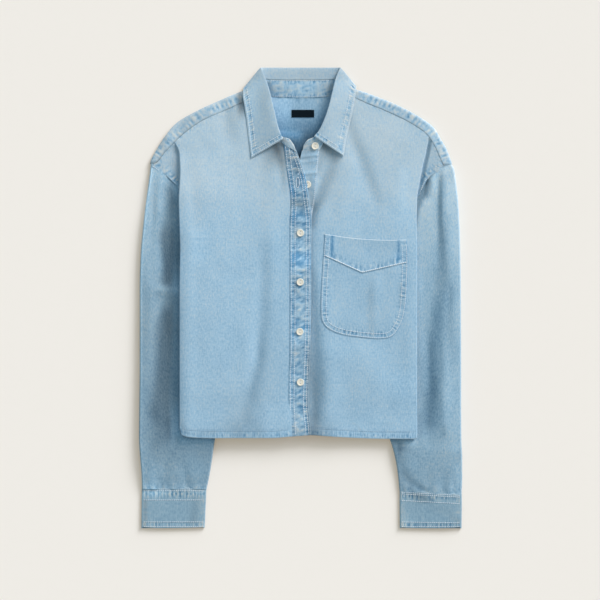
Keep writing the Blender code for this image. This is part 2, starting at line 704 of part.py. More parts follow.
for old in list(bpy.data.objects):
    bpy.data.objects.remove(old, do_unlink=True)

back_sections = []
for y in BACK["y"]:
    right, left = at(BACK, "right", y), at(BACK, "left", y)
    xs = [mix(-right, left, k / 26) for k in range(27)]
    back_sections.append([(x, y, back_z(x, y)) for x in xs])
cloth_mesh("back", back_sections)
build_yoke()

for name, tab, stand, side, height in (
    ("front_right", FRONT_RIGHT, STAND_RIGHT, -1, front_right_z),
    ("front_left", FRONT_LEFT, STAND_LEFT, 1, front_z),
):
    cloth_mesh(name, [front_section(tab, stand, side, y, height) for y in tab["y"]])

placket_sections = []
for y in PLACKET["y"]:
    seam = np.array((SEAM - at(FRONT_RIGHT, "centre", y), y))
    free = np.array((at(PLACKET, "free_x", y), at(PLACKET, "free_y", y)))
    points = [mix(seam, free, k / 4) for k in range(5)]
    placket_sections.append([(x, y, placket_z(x, y)) for x, y in points])
cloth_mesh("placket", placket_sections)

stand_sections = []
for y in [*FRONT_LEFT["y"][FRONT_LEFT["y"] < STAND_TOP_Y], STAND_TOP_Y]:
    inner, outer = at(BUTTON_STAND, "inner", y), at(FRONT_LEFT, "centre", y) - SEAM
    xs = [mix(inner, outer, k / 3) for k in range(4)]
    stand_sections.append([(x, y, front_z(x, y)) for x in xs])
cloth_mesh("button_stand", stand_sections)

build_collar()

tube("sleeve_right", SLEEVE_RIGHT, -1, dips=True)
tube("sleeve_left", SLEEVE_LEFT, 1, dips=True)
tube("cuff_right", CUFF_RIGHT, -1, dips=False)
tube("cuff_left", CUFF_LEFT, 1, dips=False)

build_pocket()
build_label()

for number in range(1, 7):
    x, y = at(BUTTONS, "x", number), at(BUTTONS, "y", number)
    if number == 1:
        floor = at(STAND_LEFT, "top_z", 2)
    elif number == 2:
        floor = front_z(x, y)
    else:
        floor = placket_z(x, y)
    build_button(number, x, y, floor + CLOTH / 2 + SEAM)

CHAMBRAY = (0.315, 0.490, 0.640)
SHADES = {
    "back": 0.90,
    "yoke": 0.95,
    "front_right": 1.00,
    "front_left": 1.00,
    "placket": 0.92,
    "button_stand": 0.94,
    "collar_stand": 0.90,
    "collar": 1.04,
    "sleeve_right": 0.88,
    "sleeve_left": 0.88,
    "cuff_right": 0.84,
    "cuff_left": 0.84,
    "pocket": 0.98,
    "pocket_band": 1.02,
}
for name, shade in SHADES.items():
    colour(name, tuple(shade * c for c in CHAMBRAY), 0.9)
centre_outline()
colour("neck_label", (0.018, 0.022, 0.030), 0.7)
for number in range(1, 7):
    colour(f"button_{number}", (0.72, 0.73, 0.68), 0.35)
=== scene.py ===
"""A long-sleeved chambray shirt lying face up on a pale floor, seen from above.

Plan places are in millimetres with the collar towards +Y and the wearer's left at +X.
Heights are in millimetres above the floor. Every mesh is made in metres.
"""

import math

import bpy
import numpy as np
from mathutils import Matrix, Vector
from mathutils.bvhtree import BVHTree


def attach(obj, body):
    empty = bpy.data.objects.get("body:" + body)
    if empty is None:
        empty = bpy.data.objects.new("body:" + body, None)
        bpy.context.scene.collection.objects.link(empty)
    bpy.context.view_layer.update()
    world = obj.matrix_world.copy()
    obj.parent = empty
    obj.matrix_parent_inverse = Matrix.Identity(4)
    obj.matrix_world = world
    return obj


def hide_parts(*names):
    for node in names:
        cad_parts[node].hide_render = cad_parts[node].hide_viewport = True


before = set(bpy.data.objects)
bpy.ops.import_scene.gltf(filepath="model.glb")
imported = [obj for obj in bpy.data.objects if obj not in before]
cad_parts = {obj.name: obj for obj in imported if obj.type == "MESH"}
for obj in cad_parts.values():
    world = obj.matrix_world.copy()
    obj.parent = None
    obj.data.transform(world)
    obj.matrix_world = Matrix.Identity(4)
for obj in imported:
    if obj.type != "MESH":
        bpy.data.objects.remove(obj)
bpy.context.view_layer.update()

MM = 0.001
CENTRE = np.array((-0.863, -0.288, 0.0))  # from the drawing's origin to the frame's
STEP = 1.5  # spacing of the cloth's mesh


# The fronts: the centre edge, the fold of the side, and the edge beyond it.
FRONT_RIGHT = (
    "y centre fold edge edge_z",
    (-214, 15.4, 184.5, 175.5, 9),
    (-205, 15.7, 187, 176, 9),
    (-160, 17.4, 187, 176, 9),
    (-100, 16.3, 187, 176, 9),
    (-40, 15.9, 187, 176, 9),
    (20, 15.9, 187, 176, 9),
    (75, 15.9, 186.2, 175.6, 9),
    (120, 15.9, 187.2, 176.2, 8.6),
    (155, 14.6, 188.4, 181, 8.2),
    (173, 16.4, 188.3, 189.3, 8.4),
    (186, 18, 188, 201.2, 7.8),
    (197, 19.4, 187.6, 213.2, 7.2),
    (208.5, 20.9, 188, 231.5, 6.6),
    (213, 21.5, 188.2, 222.4, 6.6),
    (229, 23.8, 189.4, 210.6, 6.2),
    (238, 24.8, 192.6, 201.6, 6),
    (244, 28.4, 195.4, 195.8, 5.9),
    (250, 33.4, 189.8, 190, 5.9),
    (258, 41.4, 180.8, 181, 5.8),
    (266, 48, 172, 172.2, 5.7),
    (280, 58.8, 149, 149.2, 5.6),
    (295, 69.2, 115, 115.2, 5.6),
    (308, 77, 86, 86.2, 5.6),
)
FRONT_LEFT = (
    "y centre fold edge edge_z",
    (-214, 13.8, 181.6, 171, 9),
    (-205, 13.8, 181.8, 171, 9),
    (-160, 13.8, 181.6, 171, 9),
    (-100, 13.8, 181.6, 171, 9),
    (-40, 13.8, 181.6, 171, 9),
    (20, 13.8, 181.6, 171, 9),
    (75, 14.6, 181.6, 171, 9),
    (120, 17, 180.9, 172, 8.8),
    (150, 21.6, 181.9, 179, 9.4),
    (166, 23.2, 184, 187, 9.8),
    (180, 24.4, 186.6, 194.6, 9.8),
    (192, 25.6, 188.8, 203.8, 9.8),
    (198, 26.2, 190, 214.6, 9.8),
    (204, 26.8, 191, 222, 9.8),
    (206.6, 27, 191.6, 234.6, 9.8),
    (209.4, 27.3, 192.2, 223.2, 9.8),
    (221, 28.6, 195, 218.4, 9.6),
    (233, 30, 197.6, 213.2, 9.4),
    (248, 38.6, 200.4, 204.8, 8.4),
    (258, 44.4, 196.6, 196.8, 5.8),
    (277, 57.2, 167.6, 167.8, 5.6),
    (296, 69.8, 127, 127.2, 5.6),
    (308, 76.6, 98, 98.2, 5.6),
    (314, 79.6, 85, 85.2, 5.6),
)
# The placket's two edges and the button stand's two edges.
PLACKET = (
    "y left right right_y",
    (-213.4, -15, 16, -211),
    (-204, -15.2, 15.6, -204),
    (-160, -17.2, 12.1, -160),
    (-120, -16.9, 13.3, -120),
    (-80, -15.8, 14.8, -80),
    (20, -15.6, 16.4, 20),
    (80, -15.6, 16.4, 80),
    (120, -15.5, 16.8, 120),
    (145, -14.3, 14.3, 145),
    (160, -14.6, 12, 162),
    (178, -17, 9.8, 180),
    (206, -21.2, 2.8, 207),
    (225, -23.4, -3.6, 224),
    (241, -25.4, -7.2, 233.5),
)
BUTTON_STAND = (
    "y inner outer",
    (60, 8, 15.4),
    (100, 6, 16.4),
    (125, 0, 17.4),
    (155, -8, 22.4),
    (180, -6, 24.8),
    (210, -1, 27.4),
    (221, 0.8, 28.4),
    (231, 3, 29.4),
)
STAND_SIDE = {-1: "right", 1: "left"}

# The sleeves' rings run from the outer to the inner edge, from armhole to cuff.
SLEEVE_RIGHT = (
    "ring outer_x outer_y inner_x inner_y bow",
    (-1, 232.6, 213, 91, 98, 2.6),
    (0, 232.8, 208.2, 95, 93.8, 2.6),
    (1, 235.6, 184, 93, 70, 1.2),
    (2, 239.4, 155, 93, 42, 0),
    (3, 244.4, 114, 95.5, 8, 0),
    (4, 248.4, 68, 100, -32, 0),
    (5, 249.8, 15, 107, -75, 0),
    (6, 249.8, -45, 115, -120, 0),
    (7, 249.8, -105, 123, -160, 0),
    (8, 250.4, -165, 128.6, -197, 0),
    (9, 250.8, -215, 133.6, -226, 0),
    (10, 249, -248, 137, -250, 0),
    (11, 247, -273, 140.8, -273, 0),
    (12, 246.4, -296.2, 145.6, -296.2, 0),
)
SLEEVE_LEFT = (
    "ring outer_x outer_y inner_x inner_y bow",
    (-1, 236.8, 209.6, 91, 98, 9.4),
    (0, 239.4, 205.2, 95, 93.8, 9.4),
    (1, 243.2, 182, 93, 70, 5),
    (2, 246.4, 150, 93, 42, 0),
    (3, 249, 104, 95.5, 8, 0),
    (4, 250, 58, 100, -32, 0),
    (5, 250.6, 15, 107, -75, 0),
    (6, 250.9, -45, 115, -120, 0),
    (7, 251.1, -105, 123, -160, 0),
    (8, 251.1, -165, 131, -197, 0),
    (9, 251.4, -215, 142.6, -226, 0),
    (10, 252.8, -248, 148.8, -250, 0),
    (11, 252.8, -275, 152.6, -273, 0),
    (12, 251.8, -307, 155.4, -301.6, 0),
)
CUFF_RIGHT = (
    "ring outer_x outer_y inner_x inner_y bow",
    (0, 246.6, -293.8, 145.8, -293.8, 0),
    (1, 246.9, -312, 146.6, -312, 0),
    (2, 247.2, -335, 147.6, -335, 0),
    (3, 247.4, -356.8, 148.4, -355.8, 0),
)
CUFF_LEFT = (
    "ring outer_x outer_y inner_x inner_y bow",
    (0, 252.3, -304.2, 155.3, -298.8, 0),
    (1, 252.3, -320, 155.2, -316, 0),
    (2, 252.1, -338, 155.4, -336, 0),
    (3, 251.8, -357, 155.6, -356.4, 0),
)

# The shoulder fold opposite each row of the yoke's seam with a front.
SHOULDER_RIGHT = (
    "y fold_x fold_y seam_x",
    (211.6, 233.6, 211, 224.6),
    (213, 233, 213.6, 223),
    (229, 222.4, 235.2, 210.4),
    (242, 211.8, 252, 198),
    (258, 193, 274.2, 181),
    (280, 158, 294.8, 149.2),
    (295, 122.4, 311, 115.2),
    (307, 95, 322.6, 88.6),
    (313, 74, 329.6, 72),
)
SHOULDER_LEFT = (
    "y fold_x fold_y seam_x",
    (207.6, 237.4, 207.2, 224),
    (209.4, 237, 210, 223.2),
    (221, 233, 222.4, 218),
    (233, 228, 234.8, 212.8),
    (248, 218.4, 251.2, 204.6),
    (258, 209.8, 265.8, 196.6),
    (277, 175.6, 290.2, 168.4),
    (296, 134.6, 309.8, 128),
    (308, 104.8, 321, 99),
    (314, 90, 326, 86),
    (320, 76, 330, 76),
)
YOKE_NECK = (
    "x y",
    (0, 313.2), (25, 313.6), (50, 316.7), (70, 322.4), (81.5, 328),
)
BACK_SEAM_Y = 205.0

# Collar stand: its neck edge and its upper edge, from a front end to the centre back.
STAND_BACK = (
    (8, 74, 325.4, 2.6, 61, 344.4, 8.4),
    (9, 50, 317.5, 2.4, 47.5, 342, 8),
    (10, 25, 314.4, 2.4, 24, 341.4, 8),
    (11, 0, 314, 2.4, 0, 341.4, 8),
)
STAND_RIGHT = (
    "part neck_x neck_y neck_z top_x top_y top_z",
    (0, 6.4, 230, 9.6, 9.6, 240.4, 10.4),
    (1, 15.5, 235.5, 9.6, 17.8, 249.6, 11.2),
    (2, 25.3, 241.4, 9.6, 27.2, 252, 12),
    (3, 41.2, 259, 8.6, 34.5, 267, 14.6),
    (4, 65, 290.6, 7.2, 44, 297, 16),
    (5, 75.6, 309, 6, 51.5, 322, 14.8),
    (6, 78, 318, 4.6, 57.5, 336, 12.8),
    (7, 79, 325.4, 3.4, 62, 344.4, 10.4),
    *STAND_BACK,
)
STAND_LEFT = (
    "part neck_x neck_y neck_z top_x top_y top_z",
    (0, 4.2, 229.8, 8.6, 5.8, 239.5, 9.4),
    (1, 15, 230.2, 8.6, 12, 247.6, 9.8),
    (2, 28.9, 232, 8.6, 23.8, 253.2, 10.4),
    (3, 44, 259, 8.2, 33, 266, 13.6),
    (4, 65, 290.6, 7.2, 45.5, 297, 16),
    (5, 76.6, 311, 6, 53.5, 325, 14.8),
    (6, 78.4, 319, 4.6, 59.5, 338, 12.8),
    (7, 79, 325.4, 3.4, 63, 344.4, 10.4),
    *STAND_BACK,
)
# Collar leaf: its fold and its outer edge at the same stations. Edge_z is above the
# body in front and above the floor behind. Turn is the way the leaf lies from the
# stand: 90 above it, 0 outside it and -90 below it.
LEAF_BACK = (
    (9, 46, 360.8, 6.4, 56, 328.4, -4.4, -90),
    (10, 24, 360.8, 6.4, 28, 325, -4.4, -90),
    (11, 0, 360.8, 6.4, 0, 324.4, -4.4, -90),
)
LEAF_RIGHT = (
    "part fold_x fold_y fold_z edge_x edge_y edge_z turn",
    (2, 26.6, 249.6, 15.6, 75.3, 220.8, 2.4, 90),
    (3, 32.9, 264.6, 17.4, 78.4, 243, 1.4, 90),
    (4, 41.2, 299, 18.6, 82.6, 279, 1.6, 90),
    (5, 48.6, 328.5, 17.6, 86.6, 305, 3.4, 90),
    (6, 54.4, 345, 15.4, 88.8, 318, 1.8, 60),
    (7, 60.8, 360.4, 11.4, 88.4, 327, 0, 10),
    (8, 58, 360.8, 7.6, 80, 335.4, -4, -60),
    *LEAF_BACK,
)
LEAF_LEFT = (
    "part fold_x fold_y fold_z edge_x edge_y edge_z turn",
    (2, 22.2, 253.8, 14.6, 67.2, 223.6, 3.4, 90),
    (3, 30, 263.4, 16.4, 70.4, 246, 3.2, 90),
    (4, 42.6, 293, 18.2, 78.8, 281, 2.2, 90),
    (5, 50.2, 322.5, 17.6, 84.2, 308.6, 2.2, 90),
    (6, 55.8, 344.8, 15.4, 86.4, 322.2, 1.8, 60),
    (7, 62.4, 360.4, 11.4, 87.6, 331.4, 0, 10),
    (8, 58.8, 360.8, 7.6, 78, 336.4, -4, -60),
    *LEAF_BACK,
)

POCKET = (
    "row inner_x inner_y outer_x outer_y sag",
    (0, 38.8, 100.6, 165, 91.6, 3.5),
    (1, 37.2, 80, 167.6, 76, 1.8),
    (2, 36.2, 62, 167.6, 56, 0),
    (3, 34.2, 30, 166.8, 28, 0),
    (4, 32.8, 0, 165.4, 0, 0),
    (5, 32.4, -14, 163.6, -16, 0),
    (6, 33.6, -30, 159.8, -32, 0),
    (7, 38.4, -40.8, 153.6, -45, 0),
    (8, 46, -47.4, 146.8, -54.8, 0),
    (9, 61, -53.8, 137, -60.4, 0),
    (10, 78, -57.8, 122, -62, 0),
)
BAND_INNER_Y, BAND_POINT_X, BAND_POINT_Y, BAND_OUTER_Y = 67.5, 97.0, 40.4, 56.6
BUTTONS = ((23.4, 238.4), (11.5, 178.5), (0.6, 103.0), (0.2, 26.5), (-0.2, -50.7), (0.6, -129.3))

# Hems of the body: how the lower edge runs from side to side.
HEM = (
    "x y",
    (-189, -204), (-186, -207.5), (-183, -210.6), (-172, -214), (-132, -215.6), (-44, -215.6),
    (-16, -213.4), (14, -211), (40, -212.6), (66, -214.4), (131, -216.8), (176, -216.8),
    (181, -215.4), (184, -212),
)

# Folds: lines of places (x, y, width, depth). A negative depth is a ridge.
BODY_FOLDS = (
    ((-106, -222, 22, 2), (-92, -185, 17, 3.8), (-82, -150, 13, 5.4), (-74, -120, 11, 5.4),
     (-67, -95, 10, 5.2), (-64, -55, 11, 3.4), (-62, -20, 12, 2), (-60, 40, 12, 1.4),
     (-60, 100, 12, 0)),
    ((17, -225, 16, 0.6), (18, -206, 16, 3), (18, -184, 16, 7.4), (19, -150, 16, 8.8),
     (19, -100, 15, 7.6), (18, -60, 13, 6), (17, -15, 11, 4.6), (17, 30, 9, 2.8), (16, 60, 8, 1.6),
     (16, 95, 8, 1.4), (17, 120, 8, 4.2), (18, 142, 9, 6), (24, 162, 9, 5.6), (33, 188, 9, 4.4),
     (43, 214, 10, 2.8), (49, 234, 10, 0)),
    ((122, 128, 12, 0), (110, 170, 12, 1.1), (101, 195, 12, 1.4), (92, 220, 12, 1.6),
     (81, 245, 12, 1.7), (71, 275, 12, 2.2)),
    ((-108, 225, 14, 0), (-112, 262, 14, 2.2), (-118, 300, 13, 2.2)),
    ((-30, 252, 11, 2.4), (-40, 232, 12, 1.6), (-50, 205, 12, 0)),
    ((66, -205, 18, 0), (70, -160, 18, 1.1), (62, -90, 16, 0)),
    ((126, -200, 18, 0), (136, -150, 18, 1.1), (140, -80, 18, 0)),
    ((-38, 90, 18, 0), (-48, 150, 18, 1.1), (-62, 220, 18, 0)),
    ((58, 115, 14, 0), (66, 160, 14, -1.2), (74, 220, 14, 0)),
    ((-168, 100, 13, 0), (-172, 180, 13, 2), (-174, 240, 12, 0)),
    ((88, -232, 26, 2), (122, -228, 24, 2.4), (124, -190, 24, 0)),
)
SLEEVE_FOLDS = (
    ((190, 200, 9, 5.5), (187, 180, 12, 9.6), (184, 163, 12, 9.4), (181, 148, 6, 6),
     (179, 132, 4, 3), (179, 105, 4, 0)),
    ((200, -40, 6, 0), (201, -95, 7, 2), (202, -150, 7, 2), (198, -195, 7, 1.4), (196, -218, 7, 0)),
    ((226, -50, 8, 0), (226, -100, 8, -1.4), (224, -150, 8, -1.6), (224, -190, 8, -1.2),
     (224, -218, 8, 0)),
    ((234, 30, 6, 0), (232, 0, 6, 1.4), (230, -40, 6, 0)),
    ((-226, 190, 6, 0), (-229, 130, 6, 2.2), (-232, 60, 7, 1.6), (-232, 10, 7, 0)),
    ((-240, 180, 5, 0), (-243, 110, 5, -0.9), (-246, 40, 5, 0)),
    ((-224, -20, 10, 0), (-225, -60, 11, 1.6), (-228, -110, 12, 2.8), (-231, -160, 12, 3.2),
     (-233, -200, 12, 2.4), (-234, -240, 12, 0)),
    ((-216, -297, 8, 1.6), (-212, -270, 9, 1.6), (-204, -236, 9, 0)),
    ((-176, -297, 6, 1.6), (-180, -270, 8, 1), (-186, -245, 8, 0)),
    ((197, -301, 5, 1.6), (180, -292, 6, 1.2), (163, -276, 7, 0.8), (154, -240, 7, 0.8),
     (150, -215, 6, 0)),
    ((222, -304, 6, 1.4), (224, -288, 7, 1.2), (227, -262, 7, 0)),
    ((241, -304, 5, 1.2), (240, -285, 5, 0.8), (238, -265, 5, 0)),
)

# Painted shade and painted light: lines of places (x, y, width, share taken away). A
# negative share is painted paler. Most paint shade in folds and recesses, cast shadows
# under the collar's leaves, beside the body's edges and under the hem, and light on
# raised places; a few mark seams.
LEAF_SHADOW = (
    (-93, 324, 6, 0.5), (-93, 307, 6.5, 0.66), (-92, 294, 6, 0.46), (-92, 286, 6, 0.22),
    (-92, 276, 5, 0),
)
YOKE_SHADES = (
    LEAF_SHADOW,
    ((225, 209.6, 2, 0.4), (238, 208.2, 2, 0.4)),
    ((-223, 213.4, 2, 0.36), (-234, 212.4, 2, 0.36)),
)
BODY_SHADES = (
    LEAF_SHADOW,
    ((-24, 247, 9, 0.36), (-35, 234, 13, 0.5), (-47, 225, 12, 0.3), (-62, 217, 10, 0)),
    ((-24, 216, 12, 0.24), (-50, 210, 13, 0.16), (-66, 206, 10, 0)),
    ((37, 242, 7, 0.22), (46, 233, 8, 0.38), (55, 223, 8, 0.36), (57, 208, 9, 0)),
    ((-39, 241, 6, 0.24), (-33, 229, 7, 0.2), (-28, 212, 6, 0.26), (-26, 195, 5, 0.26),
     (-24, 170, 5, 0.1)),
    ((29, 247, 5, 0.26), (36, 241, 7, 0.32), (36, 225, 9, 0.2), (30, 210, 7, 0.2), (31, 195, 5, 0.1)),
    ((54, 210, 8, 0.12), (50, 195, 8, 0.19), (42, 172, 8, 0.15), (32, 150, 7, 0.22),
     (24, 140, 5, 0.14)),
    ((17, 190, 4, 0.16), (17, 172, 5, 0.34), (18, 152, 6, 0.4), (19, 136, 5, 0.26), (19, 110, 4, 0.1)),
    ((36, 50, 9, -0.05), (36, 20, 9, -0.07), (38, -30, 10, -0.07), (60, -54, 9, -0.05)),
    ((-57, 150, 7, 0.04), (-50, 20, 8, 0.06), (-53, -40, 8, 0.04)),
    ((-186, 98, 4, 0.14), (-186, 76, 4, 0.14)),
    ((-196, 184, 5, 0.2), (-197, 210, 5, 0.24), (-196, 240, 5, 0.12)),
    ((-203, 251, 6, -0.16), (-196, 251, 6, -0.16)),
    ((129, 138, 9, 0), (118, 170, 9, 0.07), (108, 195, 9, 0.09), (99, 220, 9, 0.09),
     (88, 245, 8, 0.08), (78, 275, 8, 0.03)),
    ((160, 92, 14, -0.06), (162, 145, 14, -0.14), (165, 195, 13, -0.1)),
    ((160, -110, 14, -0.02), (160, -190, 14, -0.07)),
    ((-36, 205, 13, -0.05), (-36, 80, 14, -0.06), (-36, 10, 12, -0.02)),
    ((88, 172, 10, -0.04), (86, 108, 10, -0.06)),
    ((-187, 45, 4, 0.04), (-186, -10, 5, 0.13), (-186, -180, 5, 0.15), (-182, -205, 6, 0.22),
     (-165, -209, 5, 0.14), (-135, -208, 5, 0.14)),
    ((-108, -198, 22, 0.12), (-100, -165, 20, 0.08), (-62, -206, 8, 0.08)),
    ((38, -200, 22, 0.12), (62, -186, 22, 0.07)),
    ((-116, 232, 13, 0), (-116, 265, 13, 0.09), (-124, 300, 13, 0.07)),
    ((-180, 155, 9, 0.06), (-178, 205, 9, 0.06)),
    ((-150, 205, 16, 0.03), (-140, 150, 16, 0.02)),
    ((-158, 66, 16, -0.09), (-155, 96, 16, -0.09)),
    ((-90, -206, 20, 0.18), (-84, -150, 16, 0.11), (-78, -105, 13, 0.02)),
    ((-62, -212, 12, 0.08), (-60, -160, 9, 0.06), (-56, -110, 7, 0.03)),
    ((-150, -192, 22, -0.06), (-165, -175, 20, -0.05)),
    ((21, -216, 8, 0.26), (23, -190, 9, 0.32), (21, -150, 7, 0.2), (19, -110, 6, 0.14),
     (19, -70, 5, 0.06)),
    ((30, -214, 16, 0.2), (42, -208, 12, 0.12)),
    ((40, -72, 18, -0.08), (90, -75, 22, -0.07), (150, -130, 22, -0.09)),
    ((112, 40, 6, 0.06), (110, -10, 7, 0.13), (112, -56, 6, 0.09)),
    ((150, -206, 12, -0.05), (120, -206, 12, -0.05)),
)
PLACKET_SHADES = (
    ((-18, 226, 9, 0.3), (-8, 226, 8, 0.22), (-6, 212, 7, 0.16)),
    ((-16, 214, 7, 0.26), (-12, 205, 7, 0.14)),
    ((-4, 204, 5, 0.2), (-5, 196, 5, 0.28), (-6, 188, 4, 0)),
    ((-12, 172, 6, -0.3), (-4, 171, 6, -0.16)),
    ((7, 172, 6, -0.26), (8, 192, 5, -0.2)),
    ((-8, 34, 6, 0.16), (-6, 10, 6, 0.12)),
    ((9, 44, 5, 0.16), (10, 22, 5, 0.16)),
    ((-7, 104, 6, 0.16), (-6, 112, 6, 0.1)),
    ((12, 96, 6, 0.12), (12, 82, 6, 0.12)),
    ((-8, 132, 8, -0.22), (10, 124, 6, -0.16)),
    ((-6, 66, 8, -0.14), (8, 56, 8, -0.14)),
    ((-6, -57, 6, -0.22), (8, -44, 5, -0.18)),
    ((-7, -82, 7, 0.16), (6, -76, 6, 0.12)),
    ((-6, -158, 8, 0.1), (-4, -186, 8, 0.1)),
    ((-9, 150, 7, 0.32), (0, 149, 7, 0.32), (12, 150, 6, 0.26)),
)
POCKET_SHADES = (
    ((123, 35, 8, -0.05), (122, -20, 8, -0.05)),
    ((112, 36, 7, 0.05), (110, -10, 7, 0.13), (112, -54, 6, 0.09)),
    ((44, 30, 10, -0.04), (42, -20, 11, -0.09), (58, -46, 9, -0.06)),
    ((48, 92, 8, -0.1), (48, 62, 8, -0.06)),
    ((152, 66, 6, -0.12), (152, 52, 6, -0.1)),
    ((70, 90, 12, 0.05), (142, 86, 12, 0.06)),
    ((158, 20, 5, 0.12), (157, -6, 5, 0.12)),
)
STAND_SHADES = (
    ((-38, 330, 9, 0.12), (-24, 330, 8, 0.06)),
    ((0, 318, 12, -0.12), (14, 322, 10, -0.08)),
    ((50, 342, 5, 0.34), (46, 326, 5, 0.3), (42, 310, 5, 0.1)),
    ((36, 334, 8, 0.18), (34, 322, 7, 0)),
    ((-48, 336, 4, 0.34), (-46, 324, 4, 0.1)),
    ((-27, 249, 6, 0.45), (-20, 243, 4, 0.2)),
    ((10, 240, 8, 0.26), (9, 227, 9, 0.22), (16, 214, 9, 0.12)),
    ((17, 190, 5, 0.16), (18, 168, 6, 0.34), (19, 148, 6, 0.36)),
)
COLLAR_SHADES = (
    ((24, 257, 6, -0.2), (36, 250, 6, -0.14)),
    ((62, 240, 6, -0.12), (63, 226, 6, -0.18)),
    ((-48, 305, 5, -0.12), (-40, 276, 5, -0.1)),
    ((-77, 305, 8, -0.06), (-76, 290, 8, -0.05)),
    ((-88, 285, 4, -0.1), (-82, 250, 4, -0.12)),
    ((-70, 268, 12, 0), (-73, 292, 12, -0.14), (-74, 315, 12, -0.18), (-66, 345, 13, -0.16)),
    ((-72, 232, 12, 0.1), (-50, 244, 12, 0.1), (-28, 252, 12, 0)),
)
SLEEVE_SHADES = (
    ((198, 197, 5, 0.2), (197, 178, 7, 0.4), (191, 165, 7, 0.42), (186, 152, 6, 0.36),
     (185, 142, 6, 0)),
    ((209, 196, 6, -0.14), (208, 180, 6, -0.18), (207, 162, 6, 0)),
    ((223, 190, 5, 0.22), (222, 165, 6, 0.3), (219, 140, 8, 0.27), (222, 110, 8, 0.31),
     (222, 90, 10, 0.32), (224, 70, 12, 0.28), (227, 50, 13, 0.26), (230, 20, 11, 0.28),
     (230, -10, 9, 0.22), (234, -35, 9, 0.2), (236, -75, 8, 0.18), (238, -105, 8, 0.12),
     (238, -130, 8, 0)),
    ((188, 70, 6, 0), (188, 20, 6, -0.12), (189, -70, 6, -0.08), (189, -100, 6, 0)),
    ((198, -135, 6, 0), (197, -155, 6, 0.22), (196, -178, 6, 0.2), (192, -203, 9, 0.2),
     (188, -216, 9, 0)),
    ((225, -188, 4, 0), (224, -205, 4, 0.16), (225, -216, 4, 0)),
    ((178, -301, 13, 0.36), (170, -282, 11, 0.26), (156, -262, 7, 0.26), (146, -242, 9, 0.4),
     (140, -230, 6, 0.3)),
    ((158, -222, 5, -0.22), (172, -222, 5, -0.26)),
    ((-188, -212, 5, -0.16), (-184, -220, 5, -0.4), (-142, -220, 5, -0.4)),
    ((-204, -190, 7, 0.2), (-202, -212, 7, 0.18)),
    ((-165, -266, 18, -0.09), (-172, -245, 16, -0.08)),
    ((156, -262, 8, -0.14), (170, -262, 9, -0.06)),
    ((246, -262, 6, -0.12), (246, -300, 6, -0.2)),
    ((150, -232, 5, 0.16), (158, -232, 5, 0.24), (176, -240, 7, 0.12), (190, -240, 6, 0.08)),
    ((-230, -297, 8, -0.3), (-230, -280, 6, -0.16), (-231, -262, 6, 0)),
    ((-191, -60, 4, -0.12), (-191, -110, 4, -0.2), (-191, -175, 4, -0.26), (-190, -208, 5, -0.2)),
    ((-186, -225, 6, -0.16), (-160, -226, 6, -0.18), (-140, -225, 6, -0.22)),
    ((-196, 192, 4, 0.26), (-199, 172, 4, 0.22), (-197, 150, 4, 0.14)),
    ((-236, 192, 4, -0.14), (-236, 184, 4, -0.1)),
    ((-238, 158, 5, 0.11), (-238, 120, 5, 0.1), (-240, 95, 4, 0.08)),
    ((-220, 132, 5, 0.1), (-219, 118, 5, 0.1)),
    ((-222, 27, 6, 0.12), (-210, 28, 6, 0.14)),
    ((-216, -20, 5, -0.08), (-216, -50, 5, -0.08)),
    ((-207, -20, 4, 0.18), (-207, -50, 4, 0.14)),
    ((-241, -90, 7, 0.06), (-240, -150, 8, 0.09), (-240, -215, 8, 0.09)),
    ((199, 197, 4, 0.36), (194, 186, 4, 0.18), (189, 172, 5, 0.2), (186, 158, 5, 0.22)),
    ((189, 188, 3, -0.2), (206, 187, 4, -0.14)),
    ((198, 168, 4, 0.16), (197, 156, 4, 0.08)),
    ((186, -180, 6, 0.13), (187, -212, 6, 0.13)),
    ((211, -124, 5, 0.13), (210, -152, 5, 0.11)),
    ((224, -200, 4, 0.1), (224, -214, 4, 0.08)),
    ((211, 48, 5, 0.11), (212, 26, 5, 0.11)),
    ((226, 110, 4, 0.11), (228, 88, 4, 0.09)),
    ((230, 180, 4, -0.06), (230, 136, 4, -0.08)),
    ((236, 197, 5, 0.15), (236, 182, 5, 0.11)),
    ((207, 190, 4, -0.08), (207, 178, 4, -0.06)),
    ((198, -231, 6, -0.07), (244, -232, 7, -0.1)),
    ((156, -226, 4, 0.32), (155, -241, 4, 0.22)),
    ((168, -223, 5, -0.22), (176, -223, 5, -0.1)),
)
CUFF_SHADES = (
    ((-238, -304, 6, 0), (-230, -303, 7, -0.3), (-216, -305, 7, -0.08)),
    ((176, -303, 7, 0.26), (188, -309, 8, 0.34), (202, -312, 7, 0.2)),
    ((206, -326, 8, 0.06), (234, -330, 8, 0.06)),
    ((-242, -315, 4, 0.26), (-242, -352, 4, 0.22)),
    ((166, -350, 9, -0.1), (176, -352, 8, -0.08)),
    ((-162, -312, 8, 0.1), (-166, -345, 8, 0.16)),
    ((-240, -300, 6, -0.26), (-224, -301, 6, -0.22), (-200, -300, 4, -0.12)),
    ((-166, -300, 5, -0.14), (-150, -300, 6, -0.22)),
    ((246, -345, 5, 0.12), (236, -340, 5, 0.08)),
)


def smooth(t):
    t = np.clip(t, 0, 1)
    return t * t * (3 - 2 * t)


def mix(a, b, t):
    return a + (b - a) * t


def bump(t):
    return np.exp(-(t * t))


